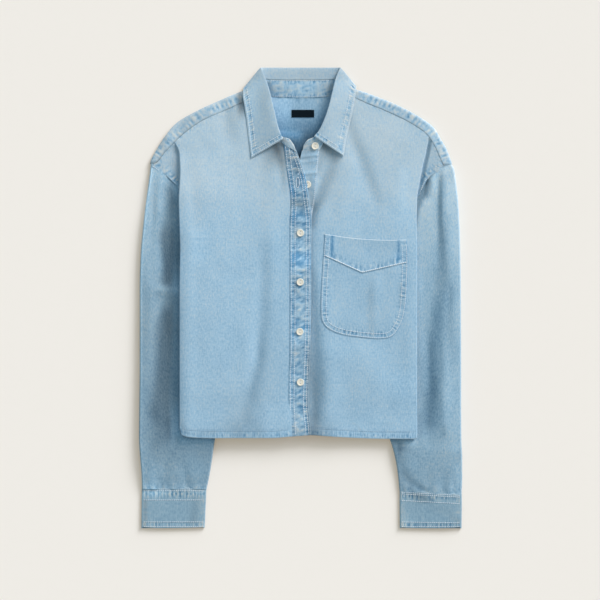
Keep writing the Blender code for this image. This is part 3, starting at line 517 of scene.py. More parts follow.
def curve(xs, ys):
    """A monotone cubic curve through points, as a function of arrays."""
    xs, ys = np.asarray(xs, float), np.asarray(ys, float)
    if xs[0] > xs[-1]:
        xs, ys = xs[::-1], ys[::-1]
    step = np.diff(xs)
    slope = np.diff(ys) / step
    first, second = 2 * step[1:] + step[:-1], step[1:] + 2 * step[:-1]
    turning = slope[:-1] * slope[1:] > 0
    low, high = np.where(turning, slope[:-1], 1), np.where(turning, slope[1:], 1)
    inner = np.where(turning, (first + second) / (first / low + second / high), 0)
    tangent = np.concatenate(([slope[0]], inner, [slope[-1]]))

    def value(q):
        q = np.clip(q, xs[0], xs[-1])
        k = np.clip(np.searchsorted(xs, q) - 1, 0, len(step) - 1)
        t = (q - xs[k]) / step[k]
        square, cube = t * t, t * t * t
        start = (2 * cube - 3 * square + 1) * ys[k]
        start = start + (cube - 2 * square + t) * step[k] * tangent[k]
        end = (3 * square - 2 * cube) * ys[k + 1] + (cube - square) * step[k] * tangent[k + 1]
        return start + end

    return value


def profile(*rows):
    """A curve through rows of a place and its value."""
    return curve(*zip(*rows))


def table(rows):
    """The columns of a table by name: curves over its first column, and its ends."""
    names, values = rows[0].split(), np.array(rows[1:], float)
    columns = {n: curve(values[:, 0], values[:, k]) for k, n in enumerate(names) if k}
    columns["ends"] = (values[:, 0].min(), values[:, 0].max())
    return columns


def places(*axes):
    """Points from their separate coordinates."""
    return np.stack(axes, axis=-1)


def widened(values, count):
    """A column of values repeated across a grid."""
    return np.repeat(values[:, None], count, axis=1)


def lengths(line):
    """How far along a line each of its places is."""
    return np.concatenate(([0], np.cumsum(np.linalg.norm(np.diff(line, axis=0), axis=1))))


def bezier(p0, p1, p2, p3, t):
    s = 1 - t
    return s**3 * p0 + 3 * s * s * t * p1 + 3 * s * t * t * p2 + t**3 * p3


def steps(length, step=None):
    """How many places a length takes."""
    return max(2, int(round(length / (step or STEP))) + 1)


def spaced(ends, step=None):
    return np.linspace(*ends, steps(ends[1] - ends[0], step))


LATTICE = {}


def noise(u, v, cell, seed):
    """Smooth noise from -1 to 1. Cell is the size of its lattice in u and in v."""
    if seed not in LATTICE:
        LATTICE[seed] = np.random.default_rng(seed).uniform(-1, 1, (128, 128))
    lattice = LATTICE[seed]
    a, b = np.asarray(u) / cell[0], np.asarray(v) / cell[1]
    i, j = np.floor(a).astype(int), np.floor(b).astype(int)
    s, t = smooth(a - i), smooth(b - j)
    low = mix(lattice[i % 128, j % 128], lattice[(i + 1) % 128, j % 128], s)
    high = mix(lattice[i % 128, (j + 1) % 128], lattice[(i + 1) % 128, (j + 1) % 128], s)
    return mix(low, high, t)


def along(line, x, y):
    """Distance of points from a line through places, and how far along it they are."""
    line = np.asarray(line, float)
    best = np.full(np.shape(x), 1e9)
    where = np.zeros(np.shape(x))
    gone = 0.0
    for p, q in zip(line, line[1:]):
        d = q - p
        length = math.hypot(*d)
        t = np.clip(((x - p[0]) * d[0] + (y - p[1]) * d[1]) / length**2, 0, 1)
        off = np.hypot(x - p[0] - t * d[0], y - p[1] - t * d[1])
        nearer = off < best
        best = np.where(nearer, off, best)
        where = np.where(nearer, gone + t * length, where)
        gone += length
    return best, where


def rounded(points, pitch=2.0):
    """A smooth line through places, by a curve over its length."""
    points = np.asarray(points, float)
    gone = lengths(points)
    where = np.linspace(0, gone[-1], steps(gone[-1], pitch))
    return places(*(curve(gone, points[:, k])(where) for k in range(2)))


def dips(folds, x, y):
    """How much a list of strokes takes away at each place."""
    dip = 0.0
    for rows in folds:
        rows = np.array(rows, float)
        reach = 2.6 * rows[:, 2].max()
        low, high = rows[:, :2].min(axis=0) - reach, rows[:, :2].max(axis=0) + reach
        near = (x > low[0]) & (x < high[0]) & (y > low[1]) & (y < high[1])
        if not near.any():
            continue
        gone = lengths(rows[:, :2])
        off, s = along(rounded(rows[:, :2], 12), x[near], y[near])
        width, depth = curve(gone, rows[:, 2])(s), curve(gone, rows[:, 3])(s)
        made = np.zeros(np.shape(x))
        made[near] = depth * bump(off / width)
        dip = dip + made
    return dip


MIDDLE = profile(
    (-214, 16), (-195, 14.4), (-160, 12.6), (40, 12), (150, 10.5), (235, 8.4), (320, 5.4)
)
SIDE_FOLD = {side: table(rows)["fold"] for side, rows in ((-1, FRONT_RIGHT), (1, FRONT_LEFT))}


def body_z(x, y):
    """Height of the fronts: higher over the sleeves, with a ridge along each side."""
    x, y = np.broadcast_arrays(np.atleast_1d(x).astype(float), np.atleast_1d(y).astype(float))
    wide = np.abs(x)
    low = smooth((238 - y) / 90)
    fold = np.where(x < 0, SIDE_FOLD[-1](y), SIDE_FOLD[1](y))
    side_lift = np.where(x < 0, 9.0 * (0.50 + 0.50 * smooth((y + 214) / 70)), 1.2)
    z = MIDDLE(y) + side_lift * smooth((wide - 45) / 130) * low
    z = z + np.where(x < 0, 1.4, 0.8) * bump((wide - fold + 11) / 12) * low
    hem_lift = 2.4 * bump((x + 106) / 44) + 3.2 * bump(x / 40) - 1.8 * smooth((x - 50) / 60)
    z = z + hem_lift * smooth((-150 - y) / 50)
    return z - dips(BODY_FOLDS, x, y) + cockle(x, y)


def cockle(x, y):
    """The cloth's small unevenness."""
    return 0.45 * noise(x, y, (42, 60), 11) + 0.16 * noise(x, y, (13, 19), 12)


def placket_z(x, y):
    away = np.hypot(x - BUTTONS[1][0], y - BUTTONS[1][1])
    z = MIDDLE(y) + 0.6 + 1.7 * smooth((x + 16) / 30) + 1.4 * (1 - smooth(away / 22 - 0.2))
    return z + cockle(x, y) + 0.3 * noise(x, y, (60, 34), 13) * smooth((x + 16) / 10)


def ripples(d, s, inset, width, period, seed):
    """Uneven puckers along a stitched edge, from -1 to 1. D is the distance from the
    edge and s is how far along it."""
    phase = s / period + 0.6 * noise(s, 0 * s, (period * 2.1, 1), seed)
    wave = np.sin(2 * np.pi * phase) * (0.5 + 0.5 * noise(s, d, (period * 1.4, 9), seed + 1))
    wave = wave + 0.75 * noise(s, d, (period * 0.4, 5), seed + 2)
    return wave * bump((d - inset) / width)


class Cloth:
    """Grids of points that make one piece, with what its material reads from them."""

    def __init__(self, name):
        self.name = name
        self.points, self.faces, self.uv, self.wash, self.tone = [], [], [], [], []
        self.count = 0

    def add(self, grid, wash=0.0, tone=1.0, uv=None, closed=False, flip=False):
        """Adds a grid of points (rows, columns, 3) in millimetres."""
        rows, columns = grid.shape[:2]
        index = np.arange(rows * columns).reshape(rows, columns) + self.count
        if closed:
            index = np.concatenate((index, index[:, :1]), axis=1)
        a, b, c, d = index[:-1, :-1], index[:-1, 1:], index[1:, 1:], index[1:, :-1]
        quads = np.stack((a, d, c, b) if flip else (a, b, c, d), axis=-1).reshape(-1, 4)
        self.faces.append(quads)
        self.points.append(grid.reshape(-1, 3))
        self.uv.append((grid[..., :2] if uv is None else uv).reshape(-1, 2))
        self.wash.append(np.broadcast_to(wash, (rows, columns)).ravel())
        self.tone.append(np.broadcast_to(tone, (rows, columns)).ravel())
        self.count += rows * columns
        return self

    def build(self, material):
        points = (np.concatenate(self.points) + CENTRE) * MM
        faces = np.concatenate(self.faces)
        mesh = bpy.data.meshes.new(self.name)
        mesh.vertices.add(len(points))
        mesh.vertices.foreach_set("co", points.ravel())
        mesh.loops.add(faces.size)
        mesh.loops.foreach_set("vertex_index", faces.ravel())
        mesh.polygons.add(len(faces))
        mesh.polygons.foreach_set("loop_start", np.arange(0, faces.size, 4))
        mesh.polygons.foreach_set("loop_total", np.full(len(faces), 4))
        mesh.update(calc_edges=True)
        mesh.polygons.foreach_set("use_smooth", np.ones(len(faces), bool))
        uv = mesh.uv_layers.new(name="cloth")
        uv.data.foreach_set("uv", (np.concatenate(self.uv)[faces.ravel()] * MM).ravel())
        for name, values in (("wash", self.wash), ("tone", self.tone)):
            attribute = mesh.attributes.new(name, "FLOAT", "POINT")
            attribute.data.foreach_set("value", np.concatenate(values).astype(np.float32))
        mesh.materials.append(material)
        mesh.validate()
        piece = bpy.data.objects.new(f"{self.name}_shown", mesh)
        piece["part"] = self.name
        bpy.context.scene.collection.objects.link(piece)
        return piece


def faced(array, turned, backward):
    """A grid laid so that the edge in hand is its last row."""
    array = array.swapaxes(0, 1) if turned else array
    return array[::-1] if backward else array


def unfaced(array, turned, backward):
    array = array[::-1] if backward else array
    return array.swapaxes(0, 1) if turned else array


def lip(grid, wash, tone, edges, drop=1.3, spread=0.4, rim=0.5):
    """Turns the edges of a grid down by the cloth's thickness.
    Edges is any of "first" and "last" row, "left" and "right" column. Spread is how
    far the turned edge reaches out, and rim is how much paler the turned edge is: wear
    and a painted highlight on the lit edge; a negative rim paints a shadow line."""
    wash = np.broadcast_to(wash, grid.shape[:2]).copy()
    tone = np.broadcast_to(tone, grid.shape[:2]).copy()
    down = np.array((0, 0, 1.0))
    # rim paints the turned edge: paler for wear and a painted highlight, darker for a painted shadow line
    turn = ((0.15, 0.02, rim), (0.8, 0.25, rim), (1.0, 0.6, 0.4 * rim), (0.4, 1, -0.2))
    for edge in edges.split():
        way = (edge in ("left", "right"), edge in ("first", "left"))
        grid, wash, tone = (faced(array, *way) for array in (grid, wash, tone))
        out = grid[-1] - grid[-2]
        out[..., 2] = 0
        out = out / np.maximum(np.linalg.norm(out, axis=-1, keepdims=True), 1e-6)
        extra = [grid[-1] + out * a * spread - down * b * drop for a, b, c in turn]
        extra.append(extra[-1] - out * 1.2)
        last = wash[-1]
        grid = np.concatenate((grid, np.stack(extra)), axis=0)
        wash = np.concatenate((wash, [last + c for a, b, c in turn], [last]), axis=0)
        tone = np.concatenate((tone, [tone[-1]] * 5), axis=0)
        grid, wash, tone = (unfaced(array, *way) for array in (grid, wash, tone))
    return grid, wash, tone


def node(tree, kind, inputs=None, **settings):
    made = tree.nodes.new(kind)
    for name, value in settings.items():
        setattr(made, name, value)
    for name, value in (inputs or {}).items():
        if isinstance(value, bpy.types.NodeSocket):
            tree.links.new(value, made.inputs[name])
        else:
            made.inputs[name].default_value = value
    return made


def calc(tree, operation, a, b=0.0, c=0.0):
    return node(tree, "ShaderNodeMath", {0: a, 1: b, 2: c}, operation=operation).outputs[0]


def new_material(name):
    material = bpy.data.materials.new(name)
    material.use_nodes = True
    return material, material.node_tree, material.node_tree.nodes["Principled BSDF"]


def dress(tree, shader, colour, level, relief, relief_m, strength, roughness, gloss):
    """Gives a shader its colour times a level, and its relief."""
    tinted = node(tree, "ShaderNodeVectorMath", {0: colour}, operation="SCALE")
    tree.links.new(level, tinted.inputs["Scale"])
    tree.links.new(tinted.outputs[0], shader.inputs["Base Color"])
    raised = {"Strength": strength, "Distance": relief_m, "Height": relief}
    tree.links.new(node(tree, "ShaderNodeBump", raised).outputs[0], shader.inputs["Normal"])
    shader.inputs["Roughness"].default_value = roughness
    shader.inputs["Specular IOR Level"].default_value = gloss


PALE = (0.584, 0.674, 0.703)
BASE = (0.315, 0.514, 0.682)
DEEP = (0.098, 0.264, 0.452)
SLUB_SCALE, MOTTLE_SCALE, CLOUD_SCALE, THREAD_SCALE = 620, 400, 26, 480


def chambray(name, shade=(1.0, 1.0, 1.0), speckle=1.0):
    """Blue warp and white weft. Wash takes the colour from deep to pale."""
    material, tree, shader = new_material(name)
    uv = node(tree, "ShaderNodeUVMap", uv_map="cloth").outputs[0]

    def stretched(x, y, scale, detail):
        turned = node(tree, "ShaderNodeMapping", {0: uv, "Scale": (x, y, 1)}).outputs[0]
        grain = {0: turned, "Scale": scale, "Detail": detail}
        return calc(tree, "SUBTRACT", node(tree, "ShaderNodeTexNoise", grain).outputs[0], 0.5)

    def threads(way):
        lines = {0: uv, "Scale": THREAD_SCALE, "Distortion": 0.6}
        return node(tree, "ShaderNodeTexWave", lines, bands_direction=way).outputs["Fac"]

    def painted(attribute):
        return node(tree, "ShaderNodeAttribute", attribute_name=attribute).outputs["Fac"]

    warp_slub = stretched(1, 0.16, SLUB_SCALE, 2)
    weft_slub = stretched(0.16, 1, SLUB_SCALE, 2)
    mottle = stretched(1, 0.55, MOTTLE_SCALE, 3)
    cloud = stretched(1, 0.7, CLOUD_SCALE, 2)
    warp, weft = threads("X"), threads("Y")
    level = painted("wash")
    for part, share in (
        (warp_slub, 0.62 * speckle),
        (weft_slub, 0.34 * speckle),
        (mottle, 1.3 * speckle),
        (cloud, 0.42 * speckle),
        (calc(tree, "SUBTRACT", warp, weft), 0.10),
    ):
        level = calc(tree, "MULTIPLY_ADD", part, share, level)
    ramp = node(tree, "ShaderNodeValToRGB", {0: calc(tree, "MULTIPLY_ADD", level, 0.5, 0.5)})
    ramp.color_ramp.elements[0].color = (*DEEP, 1)
    ramp.color_ramp.elements[1].color = (*PALE, 1)
    ramp.color_ramp.elements[0].position = 0.0
    ramp.color_ramp.elements.new(0.5).color = (*BASE, 1)
    shaded = {0: ramp.outputs[0], 1: shade}
    colour = node(tree, "ShaderNodeVectorMath", shaded, operation="MULTIPLY").outputs[0]
    relief = calc(tree, "MULTIPLY", warp, weft)
    relief = calc(tree, "ADD", relief, calc(tree, "ADD", warp_slub, weft_slub))
    dress(tree, shader, colour, painted("tone"), relief, 0.00025, 0.6, 0.92, 0.25)
    shader.inputs["Sheen Weight"].default_value = 0.12
    shader.inputs["Sheen Roughness"].default_value = 0.6
    return material


def plain(name, colour, roughness, fleck=0.0, scale=900.0, bump_mm=0.05, gloss=0.5):
    """A material of one colour with a fine mottle and a fine relief."""
    material, tree, shader = new_material(name)
    place = node(tree, "ShaderNodeTexCoord").outputs["Object"]
    grain = node(tree, "ShaderNodeTexNoise", {0: place, "Scale": scale, "Detail": 3}).outputs[0]
    level = calc(tree, "MULTIPLY_ADD", calc(tree, "SUBTRACT", grain, 0.5), fleck, 1.0)
    dress(tree, shader, colour, level, grain, bump_mm * MM, 0.5, roughness, gloss)
    return material


PIECES = {}
THREAD = plain("thread", (0.70, 0.78, 0.83), 0.7, 0.3, 1500)
THREAD_DARK = plain("thread_deep", (0.20, 0.33, 0.46), 0.7, 0.3, 1500)


def keep(piece):
    """The piece stands for the CAD node of its name, and rides on the one body."""
    name = piece["part"]
    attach(piece, "root")
    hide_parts(name)
    PIECES[name] = piece
    return piece


def make_cloth(name, grid, wash, tone, turns=(), flip=False):
    """Turns a grid's edges down and builds it as the piece of that name."""
    for edges, *sizes in turns:
        grid, wash, tone = lip(grid, wash, tone, edges, *sizes)
    return keep(Cloth(name).add(grid, wash, tone, flip=flip).build(chambray(name)))


def resample(line, pitch):
    """Places at an even pitch along a line through places."""
    line = np.asarray(line, float)
    gone = lengths(line)
    count = max(2, int(gone[-1] / pitch))
    where = np.linspace(0, gone[-1], count + 1)
    return places(*(np.interp(where, gone, line[:, k]) for k in range(2)))


def inset_line(line, distance):
    """A line moved to its left by a distance."""
    line = np.asarray(line, float)
    d = np.gradient(line, axis=0)
    d = d / np.maximum(np.linalg.norm(d, axis=1, keepdims=True), 1e-9)
    return line + places(-d[:, 1], d[:, 0]) * distance


def stitch_mesh(name, runs, material, radius=0.34, sides=6):
    """Short capsules from place to place. Runs are arrays (count, 2, 3) of end points."""
    ends = np.concatenate(runs)
    a, b = ends[:, 0], ends[:, 1]
    d = b - a
    length = np.linalg.norm(d, axis=1, keepdims=True)
    d = d / np.maximum(length, 1e-9)
    up = np.array((0.0, 0, 1.0))
    side = np.cross(d, up)
    side = side / np.maximum(np.linalg.norm(side, axis=1, keepdims=True), 1e-9)
    over = np.cross(side, d)
    angles = np.arange(sides) * 2 * math.pi / sides
    rings = []
    for t, r in ((0.0, 0.25), (0.16, 0.9), (0.5, 1.1), (0.84, 0.9), (1.0, 0.25)):
        middle = a + (b - a) * t
        arch = up * (0.35 * radius * math.sin(math.pi * t))
        ring = (
            middle + arch + (side * math.cos(w) + over * math.sin(w)) * radius * r
            for w in angles
        )
        rings.append(np.stack(list(ring), axis=1))
    points = np.stack(rings, axis=1)
    count, levels = points.shape[0], points.shape[1]
    index = np.arange(count * levels * sides).reshape(count, levels, sides)
    wrap = np.concatenate((index, index[:, :, :1]), axis=2)
    quads = places(wrap[:, :-1, :-1], wrap[:, :-1, 1:], wrap[:, 1:, 1:], wrap[:, 1:, :-1])
    mesh = bpy.data.meshes.new(name)
    corners = (points.reshape(-1, 3) + CENTRE) * MM
    mesh.from_pydata(corners.tolist(), [], quads.reshape(-1, 4).tolist())
    mesh.polygons.foreach_set("use_smooth", np.ones(len(mesh.polygons), bool))
    mesh.materials.append(material)
    sewn = bpy.data.objects.new(name, mesh)
    bpy.context.scene.collection.objects.link(sewn)
    return sewn


def sew(piece, lines, pitch=2.9, share=0.72, radius=0.40, lift=0.1, material=None, suffix="stitches"):
    """Lays stitches on a piece along lines in plan."""
    tree = BVHTree.FromObject(piece, bpy.context.evaluated_depsgraph_get())
    down = Vector((0, 0, -1))

    def drop(place):
        x, y = (place[0] + CENTRE[0]) * MM, (place[1] + CENTRE[1]) * MM
        hit = tree.ray_cast(Vector((x, y, 0.2)), down)[0]
        return None if hit is None else hit.z / MM

    runs = []
    for line in lines:
        places = resample(line, pitch)
        for p, q in zip(places, places[1:]):
            ends = (mix(p, q, 0.5 - share / 2), mix(p, q, 0.5 + share / 2))
            heights = [drop(end) for end in ends]
            if None in heights or abs(heights[0] - heights[1]) > 1.6:
                continue
            runs.append([(*end, z + lift) for end, z in zip(ends, heights)])
    if not runs:
        return None
    part = piece["part"]
    sewn = stitch_mesh(f"{part}_{suffix}", [np.array(runs)], material or THREAD, radius)
    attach(sewn, "root")
    return sewn


# ---------------------------------------------------------------- fronts
HEM_Y = table(HEM)["y"]
TAIL_Y = -185.0  # the hem's own line is reached between this row and the lowest
PLACKET_RIGHT = curve([row[3] for row in PLACKET[1:]], [row[2] for row in PLACKET[1:]])
FRONT_EDGE = {}  # height of each front's outer edge along y
# Painted light and shade along the body's length: darker towards the hem and the shoulders.
BODY_SHADE_ALONG = profile(
    (-216, 0.94), (-160, 0.955), (-60, 0.97), (40, 0.985), (110, 0.98), (180, 0.96), (300, 0.955),
)
BODY_TOP_LIGHT = profile((-216, 0), (-60, 0), (40, 0), (110, 0.09), (180, 0.32), (300, 0.42))
# Painted light and shade across each shoulder's yoke strip, by distance from the middle.
YOKE_LIGHT_ACROSS = {
    -1: profile(
        (90, 1.06), (110, 1.05), (130, 0.94), (150, 0.89), (165, 0.86), (180, 0.84), (190, 0.94),
        (203, 1.04), (213, 0.86), (225, 0.9),
    ),
    1: profile((90, 0.92), (110, 0.98), (150, 0.9), (180, 0.9), (195, 1), (205, 1.04), (225, 0.96)),
}
ARMHOLE = {
    -1: rounded((
        (-235, 210.5), (-224.6, 206), (-213.7, 197.2), (-202.8, 187.2), (-196, 180.6), (-187, 171),
    )),
    1: rounded((
        (238, 206.6), (223, 205.4), (211.7, 197), (200, 190.4), (192.7, 184.6), (184.7, 161.2),
    )),
}
YOKE_SEAM = {
    -1: rounded((
        (-223.6, 212), (-210.4, 229), (-198, 242), (-181, 258), (-149, 280), (-115, 295),
        (-86, 307.6),
    )),
    1: rounded((
        (223.9, 208), (218, 221), (211.8, 235), (202, 252), (188, 265), (168, 277), (127.4, 296),
        (98.4, 308), (84, 314),
    )),
}


def hem_shift(x, y, lowest):
    """Moves the lowest rows so that the last one follows the hem."""
    share = smooth((TAIL_Y - y) / (TAIL_Y - lowest))
    return y + (HEM_Y(x) - lowest) * share


def body_tone(x, y):
    """Painted light and shade of the body's cloth along its length: darker towards the hem, and over the
    wearer's right front.
    """
    shade_level = BODY_SHADE_ALONG(y)
    shade_level = shade_level * (1 - 0.04 * smooth((-x - 30) / 40) * smooth((230 - y) / 60))
    return shade_level * (1 + 0.02 * noise(x, y, (55, 70), 21))


def body_wash(x, y):
    """Painted light: the cloth is painted paler over the chest and shoulders, lighter towards the top."""
    return BODY_TOP_LIGHT(y) + 0.05 * noise(x, y, (48, 64), 22)


def pocket_tone(x, y):
    # Painted shade and light from the strokes over the pocket.
    return body_tone(x, y) * 0.98 * (1 - dips(POCKET_SHADES, x, y))


def seam_wash(d, s, inset, width, period, seed, strength=0.55):
    """Paler ridges and deeper hollows of a stitched band, and their height."""
    wave = ripples(d, s, inset, width, period, seed)
    flecks = noise(s, d, (2.3, 3.1), seed + 5) * bump((d - inset) / (0.9 * width))
    band = bump((d - inset) / (1.2 * width))
    return strength * (0.9 * wave + 0.55 * flecks - 0.22 * band), 0.22 * wave


def front_looks(side, xx, yy):
    """Wash, height and tone of a front, with its stitched bands: hem, armhole, yoke's seam."""
    wash, rise = seam_wash(yy - HEM_Y(xx), xx, 4.0, 4.2, 3.9, 31, 0.65)
    more, lift = seam_wash(*along(ARMHOLE[side], xx, yy), 5.5, 5.5, 6.5, 41, 1.25)
    near = (yy > 155) & (np.abs(xx) > SIDE_FOLD[side](yy) + 1.5)
    wash, rise = wash + more * near, rise + 2 * lift * near
    more, lift = seam_wash(*along(YOKE_SEAM[side], xx, yy), 1.5, 3.5, 9.0, 45, 0.30)
    wash, rise = wash + more, rise + lift
    # Painted shade beyond the side fold by the armhole, and painted shade and light from the strokes.
    beyond = np.where(near, 0.94 if side < 0 else 0.88, 1.0)
    tone = body_tone(xx, yy) * beyond * (1 - dips(BODY_SHADES, xx, yy))
    if side > 0:
        # Painted shadow line and painted shade in the trough beside the placket's right edge.
        beside = xx - PLACKET_RIGHT(yy)
        tone = tone * (1 - 0.20 * bump((beside - 1.5) / 2.2) * (yy < 150))
        tone = tone * (1 - 0.09 * bump((beside - 11) / 14) * smooth((-70 - yy) / 70))
        tone = tone * (1 - 0.10 * bump((beside - 3) / 5) * smooth((-60 - yy) / 60))
    return wash + body_wash(xx, yy), rise, tone


def build_front(side, rows, stand_rows, name):
    tab, stand = table(rows), table(stand_rows)
    ys = spaced(tab["ends"])
    parts = np.linspace(2, 6, 17)
    neck_y, neck_x = stand["neck_y"](parts), stand["neck_x"](parts)
    tucked = -3.6 if side < 0 else -2.6
    round_neck = np.interp(ys, neck_y, neck_x) + 0.6
    centre = np.where(ys > neck_y[0], round_neck, tab["centre"](ys) + tucked)
    fold, edge, edge_z = tab["fold"](ys), tab["edge"](ys), tab["edge_z"](ys)
    fold = np.where(ys > (244 if side < 0 else 252), np.maximum(fold, edge - 0.2), fold)
    start = fold - np.minimum(1.2, 0.12 * (fold - centre))
    flat_x = mix(centre[:, None], start[:, None], np.linspace(0, 1, steps(172))[None, :])
    z = body_z(side * flat_x, widened(ys, flat_x.shape[1]))
    # The roll: over the fold and under it, or down onto the part beside it.
    roll = 32
    k = (np.linspace(0, 1, roll + 1)[1:] ** 1.5)[None, :]
    z0 = z[:, -1:]
    f, s, e, ez = fold[:, None], start[:, None], edge[:, None], edge_z[:, None]
    falls = smooth(((250 if side < 0 else 256) - ys[:, None]) / 24)
    ez = mix(z0 - 0.4, np.minimum(ez, z0 - 0.4), falls)
    handle = (8 * f - s - e) / 6
    under_x = bezier(s, handle, handle, e, k)
    under_z = bezier(z0, z0, mix(z0, ez, 0.9), ez, k)
    shelf_x = mix(s, e, k)
    groove = ez - (2.4 if side < 0 else 6.2) * falls
    drop_x, rise_x = 0.9, 16.0 if side < 0 else 7.0
    shelf_z = mix(z0, groove, smooth((shelf_x - s) / drop_x))
    rise_x = np.minimum(rise_x, np.maximum(e - s - drop_x, 2))
    shelf_z = shelf_z + (ez - groove) * smooth((shelf_x - s - drop_x) / rise_x)
    outward = smooth((e - f + 4) / 10)
    rx, rz = mix(under_x, shelf_x, outward), mix(under_z, shelf_z, outward)
    xx = side * np.concatenate((flat_x, rx), axis=1)
    zz = np.concatenate((z, rz), axis=1)
    yy = hem_shift(xx, widened(ys, xx.shape[1]), tab["ends"][0])
    FRONT_EDGE[side] = curve(ys, mix(z0, ez, outward)[:, 0])
    wash, rise, tone = front_looks(side, xx, yy)
    zz = zz + rise - 0.315 * bump((yy - HEM_Y(xx) - 10.5) / 1.3)
    grid = places(xx, yy, zz)
    return make_cloth(name, grid, wash, tone, [("first", 1.3, 0.7, 1.3)], side < 0)


front_right = build_front(-1, FRONT_RIGHT, STAND_RIGHT, "front_right")
front_left = build_front(1, FRONT_LEFT, STAND_LEFT, "front_left")

# ---------------------------------------------------------------- placket, button stand
tab = table(PLACKET)
ys = spaced(tab["ends"], STEP * 0.8)
t = np.linspace(0, 1, steps(32, STEP * 0.8))[None, :]
left, right, right_y = (tab[n](ys)[:, None] for n in ("left", "right", "right_y"))
xx, yy = mix(left, right, t), mix(ys[:, None], right_y, t)
wash_all, rise_all = 0.0, 0.0
for edge_x, seed in ((left, 51), (right, 61)):
    wash, rise = seam_wash(np.abs(xx - edge_x), yy, 3.8, 3.8, 5.0, seed, 0.8)
    wash_all, rise_all = wash_all + wash, rise_all + rise
middle = noise(xx, yy, (9, 4.5), 71) + 0.9 * noise(xx + 0.8 * yy, yy - 0.5 * xx, (7, 2.6), 72)
patches = smooth(1.9 * noise(xx, yy, (40, 21), 73) + 0.3)
creased = bump((xx - (left + right) / 2) / 11)
wash_all = wash_all + 0.75 * middle * creased - 0.12 - 0.55 * patches
zz = placket_z(xx, yy) + rise_all + 0.30 * middle * creased
# Lighter and darker along the placket's length; darker towards the collar, in painted shade.
placket_tone = profile(
    (-214, 0.94), (-185, 1.04), (-130, 1.03), (-100, 0.94), (-60, 1.08), (0, 1), (80, 1.06),
    (105, 1), (140, 0.87), (180, 0.91), (240, 0.86),
)
tone = body_tone(xx, yy) * placket_tone(yy)
# Darker along the lower right edge, a painted shadow line along the right edge higher up, a paler band,
# darker at the hem, and painted shade and light from the strokes.
tone = tone * (1 - 0.34 * bump((right - xx) / 4) * smooth((-40 - yy) / 60))
tone = tone * (1 + 0.16 * bump((yy - 62) / 16))
tone = tone * (1 - 0.14 * bump((right - xx) / 2.5) * smooth((150 - yy) / 20))
tone = tone * (1 - 0.16 * smooth((-192 - yy) / 10)) * (1 - dips(PLACKET_SHADES, xx, yy))
turns = [("first", 1.2, 0.6, 0.9), ("right", 1.2, 0.9, 0.3), ("left", 0.6, 0.3, -0.5)]
placket = make_cloth("placket", places(xx, yy, zz), wash_all, tone, turns)

tab = table(BUTTON_STAND)
ys = spaced(tab["ends"])
inner, outer = tab["inner"](ys)[:, None], tab["outer"](ys)[:, None]
xx = mix(inner, outer, np.linspace(0, 1, steps(30))[None, :])
yy = widened(ys, xx.shape[1])
wash, rise = seam_wash(np.abs(xx - outer), yy, 2.0, 3.0, 9.0, 81, 0.35)
for crease_y, crease_h in ((223, 1.0), (214, 0.6), (196, 0.9)):
    rise = rise + crease_h * bump((yy - crease_y - 0.12 * (xx - 14)) / 2.6)
grid = places(xx, yy, body_z(xx, yy) + 0.9 + rise)
# Painted shade from the strokes.
tone = body_tone(xx, yy) * (1 - dips(STAND_SHADES, xx, yy))
button_stand = make_cloth("button_stand", grid, wash + 0.1, tone, [("right last", 0.9)])

# ---------------------------------------------------------------- back
ys = np.linspace(-213, BACK_SEAM_Y, steps(418, 4))
half = profile(
    (-214, 174), (60, 174), (120, 175), (150, 178), (172, 186), (186, 197), (197, 210), (205, 224),
)(ys)
xx = np.linspace(-1, 1, steps(350, 4))[None, :] * half[:, None]
yy = hem_shift(xx, widened(ys, xx.shape[1]), -213.0) + 2.0 * smooth((-190 - widened(ys, xx.shape[1])) / 20)
wide = np.abs(xx)
zz = 1.0 + 6.0 * smooth((wide - 50) / 60) * smooth((215 - yy) / 70) * (1 - smooth((wide - 190) / 20))
make_cloth("back", places(xx, yy, zz), 0.0, 0.95, [("first",)])

# ---------------------------------------------------------------- yoke
UNDER_Z = 1.4  # height of the yoke's cloth below the shoulder fold
SHOULDER_LENGTH = 260


def yoke_side(side, rows):
    """One shoulder: from the back's seam under the fold and over it to the front's seam."""
    tab = table(rows)
    params = np.linspace(*tab["ends"], steps(SHOULDER_LENGTH, STEP * 1.1))
    seam = places(side * tab["seam_x"](params), params)
    fold = places(side * tab["fold_x"](params), tab["fold_y"](params))
    foot = places(fold[:, 0] * 0.955, np.full(len(fold), BACK_SEAM_Y + 0.3))
    inset = foot - fold
    end = fold + inset * np.minimum(6 / np.linalg.norm(inset, axis=1), 0.5)[:, None]
    top_z = FRONT_EDGE[side](seam[:, 1]) + 0.45
    lead, lead_z = mix(seam, fold, 0.76), top_z - 0.5
    handle = (8 * fold - end - lead) / 6
    plan = [(mix(foot, end, k), np.full(len(foot), UNDER_Z)) for k in np.linspace(0, 1, 26)]
    for k in np.linspace(0, 1, 12)[1:]:
        height = bezier(UNDER_Z, UNDER_Z, lead_z * 0.9, lead_z, k)
        plan.append((bezier(end, handle, handle, lead, k), height))
    for k in np.linspace(0, 1, 8)[1:]:
        plan.append((mix(lead, seam, k), mix(lead_z, top_z, k)))
    grid = np.stack([np.concatenate((p, z[:, None]), axis=1) for p, z in plan])
    x, y = grid[..., 0], grid[..., 1]
    d, s = along(YOKE_SEAM[side], x, y)
    upper = np.arange(len(plan))[:, None] > 28
    wash, rise = seam_wash(d, s, 8.0, 6.5, 8.0, 91, 0.9)
    wash = wash * upper + (0.50 if side < 0 else 0.42)
    tone = body_tone(x, y) * (1 - 0.34 * bump(d / 1.5) * upper)
    # Painted light and shade across the strip, and painted shade from the strokes.
    tone = tone * YOKE_LIGHT_ACROSS[side](np.abs(x)) * (1 - dips(YOKE_SHADES, x, y))
    grid[..., 2] += rise * upper
    return lip(grid, wash, tone, "last", 0.5, 0.4, -0.8)


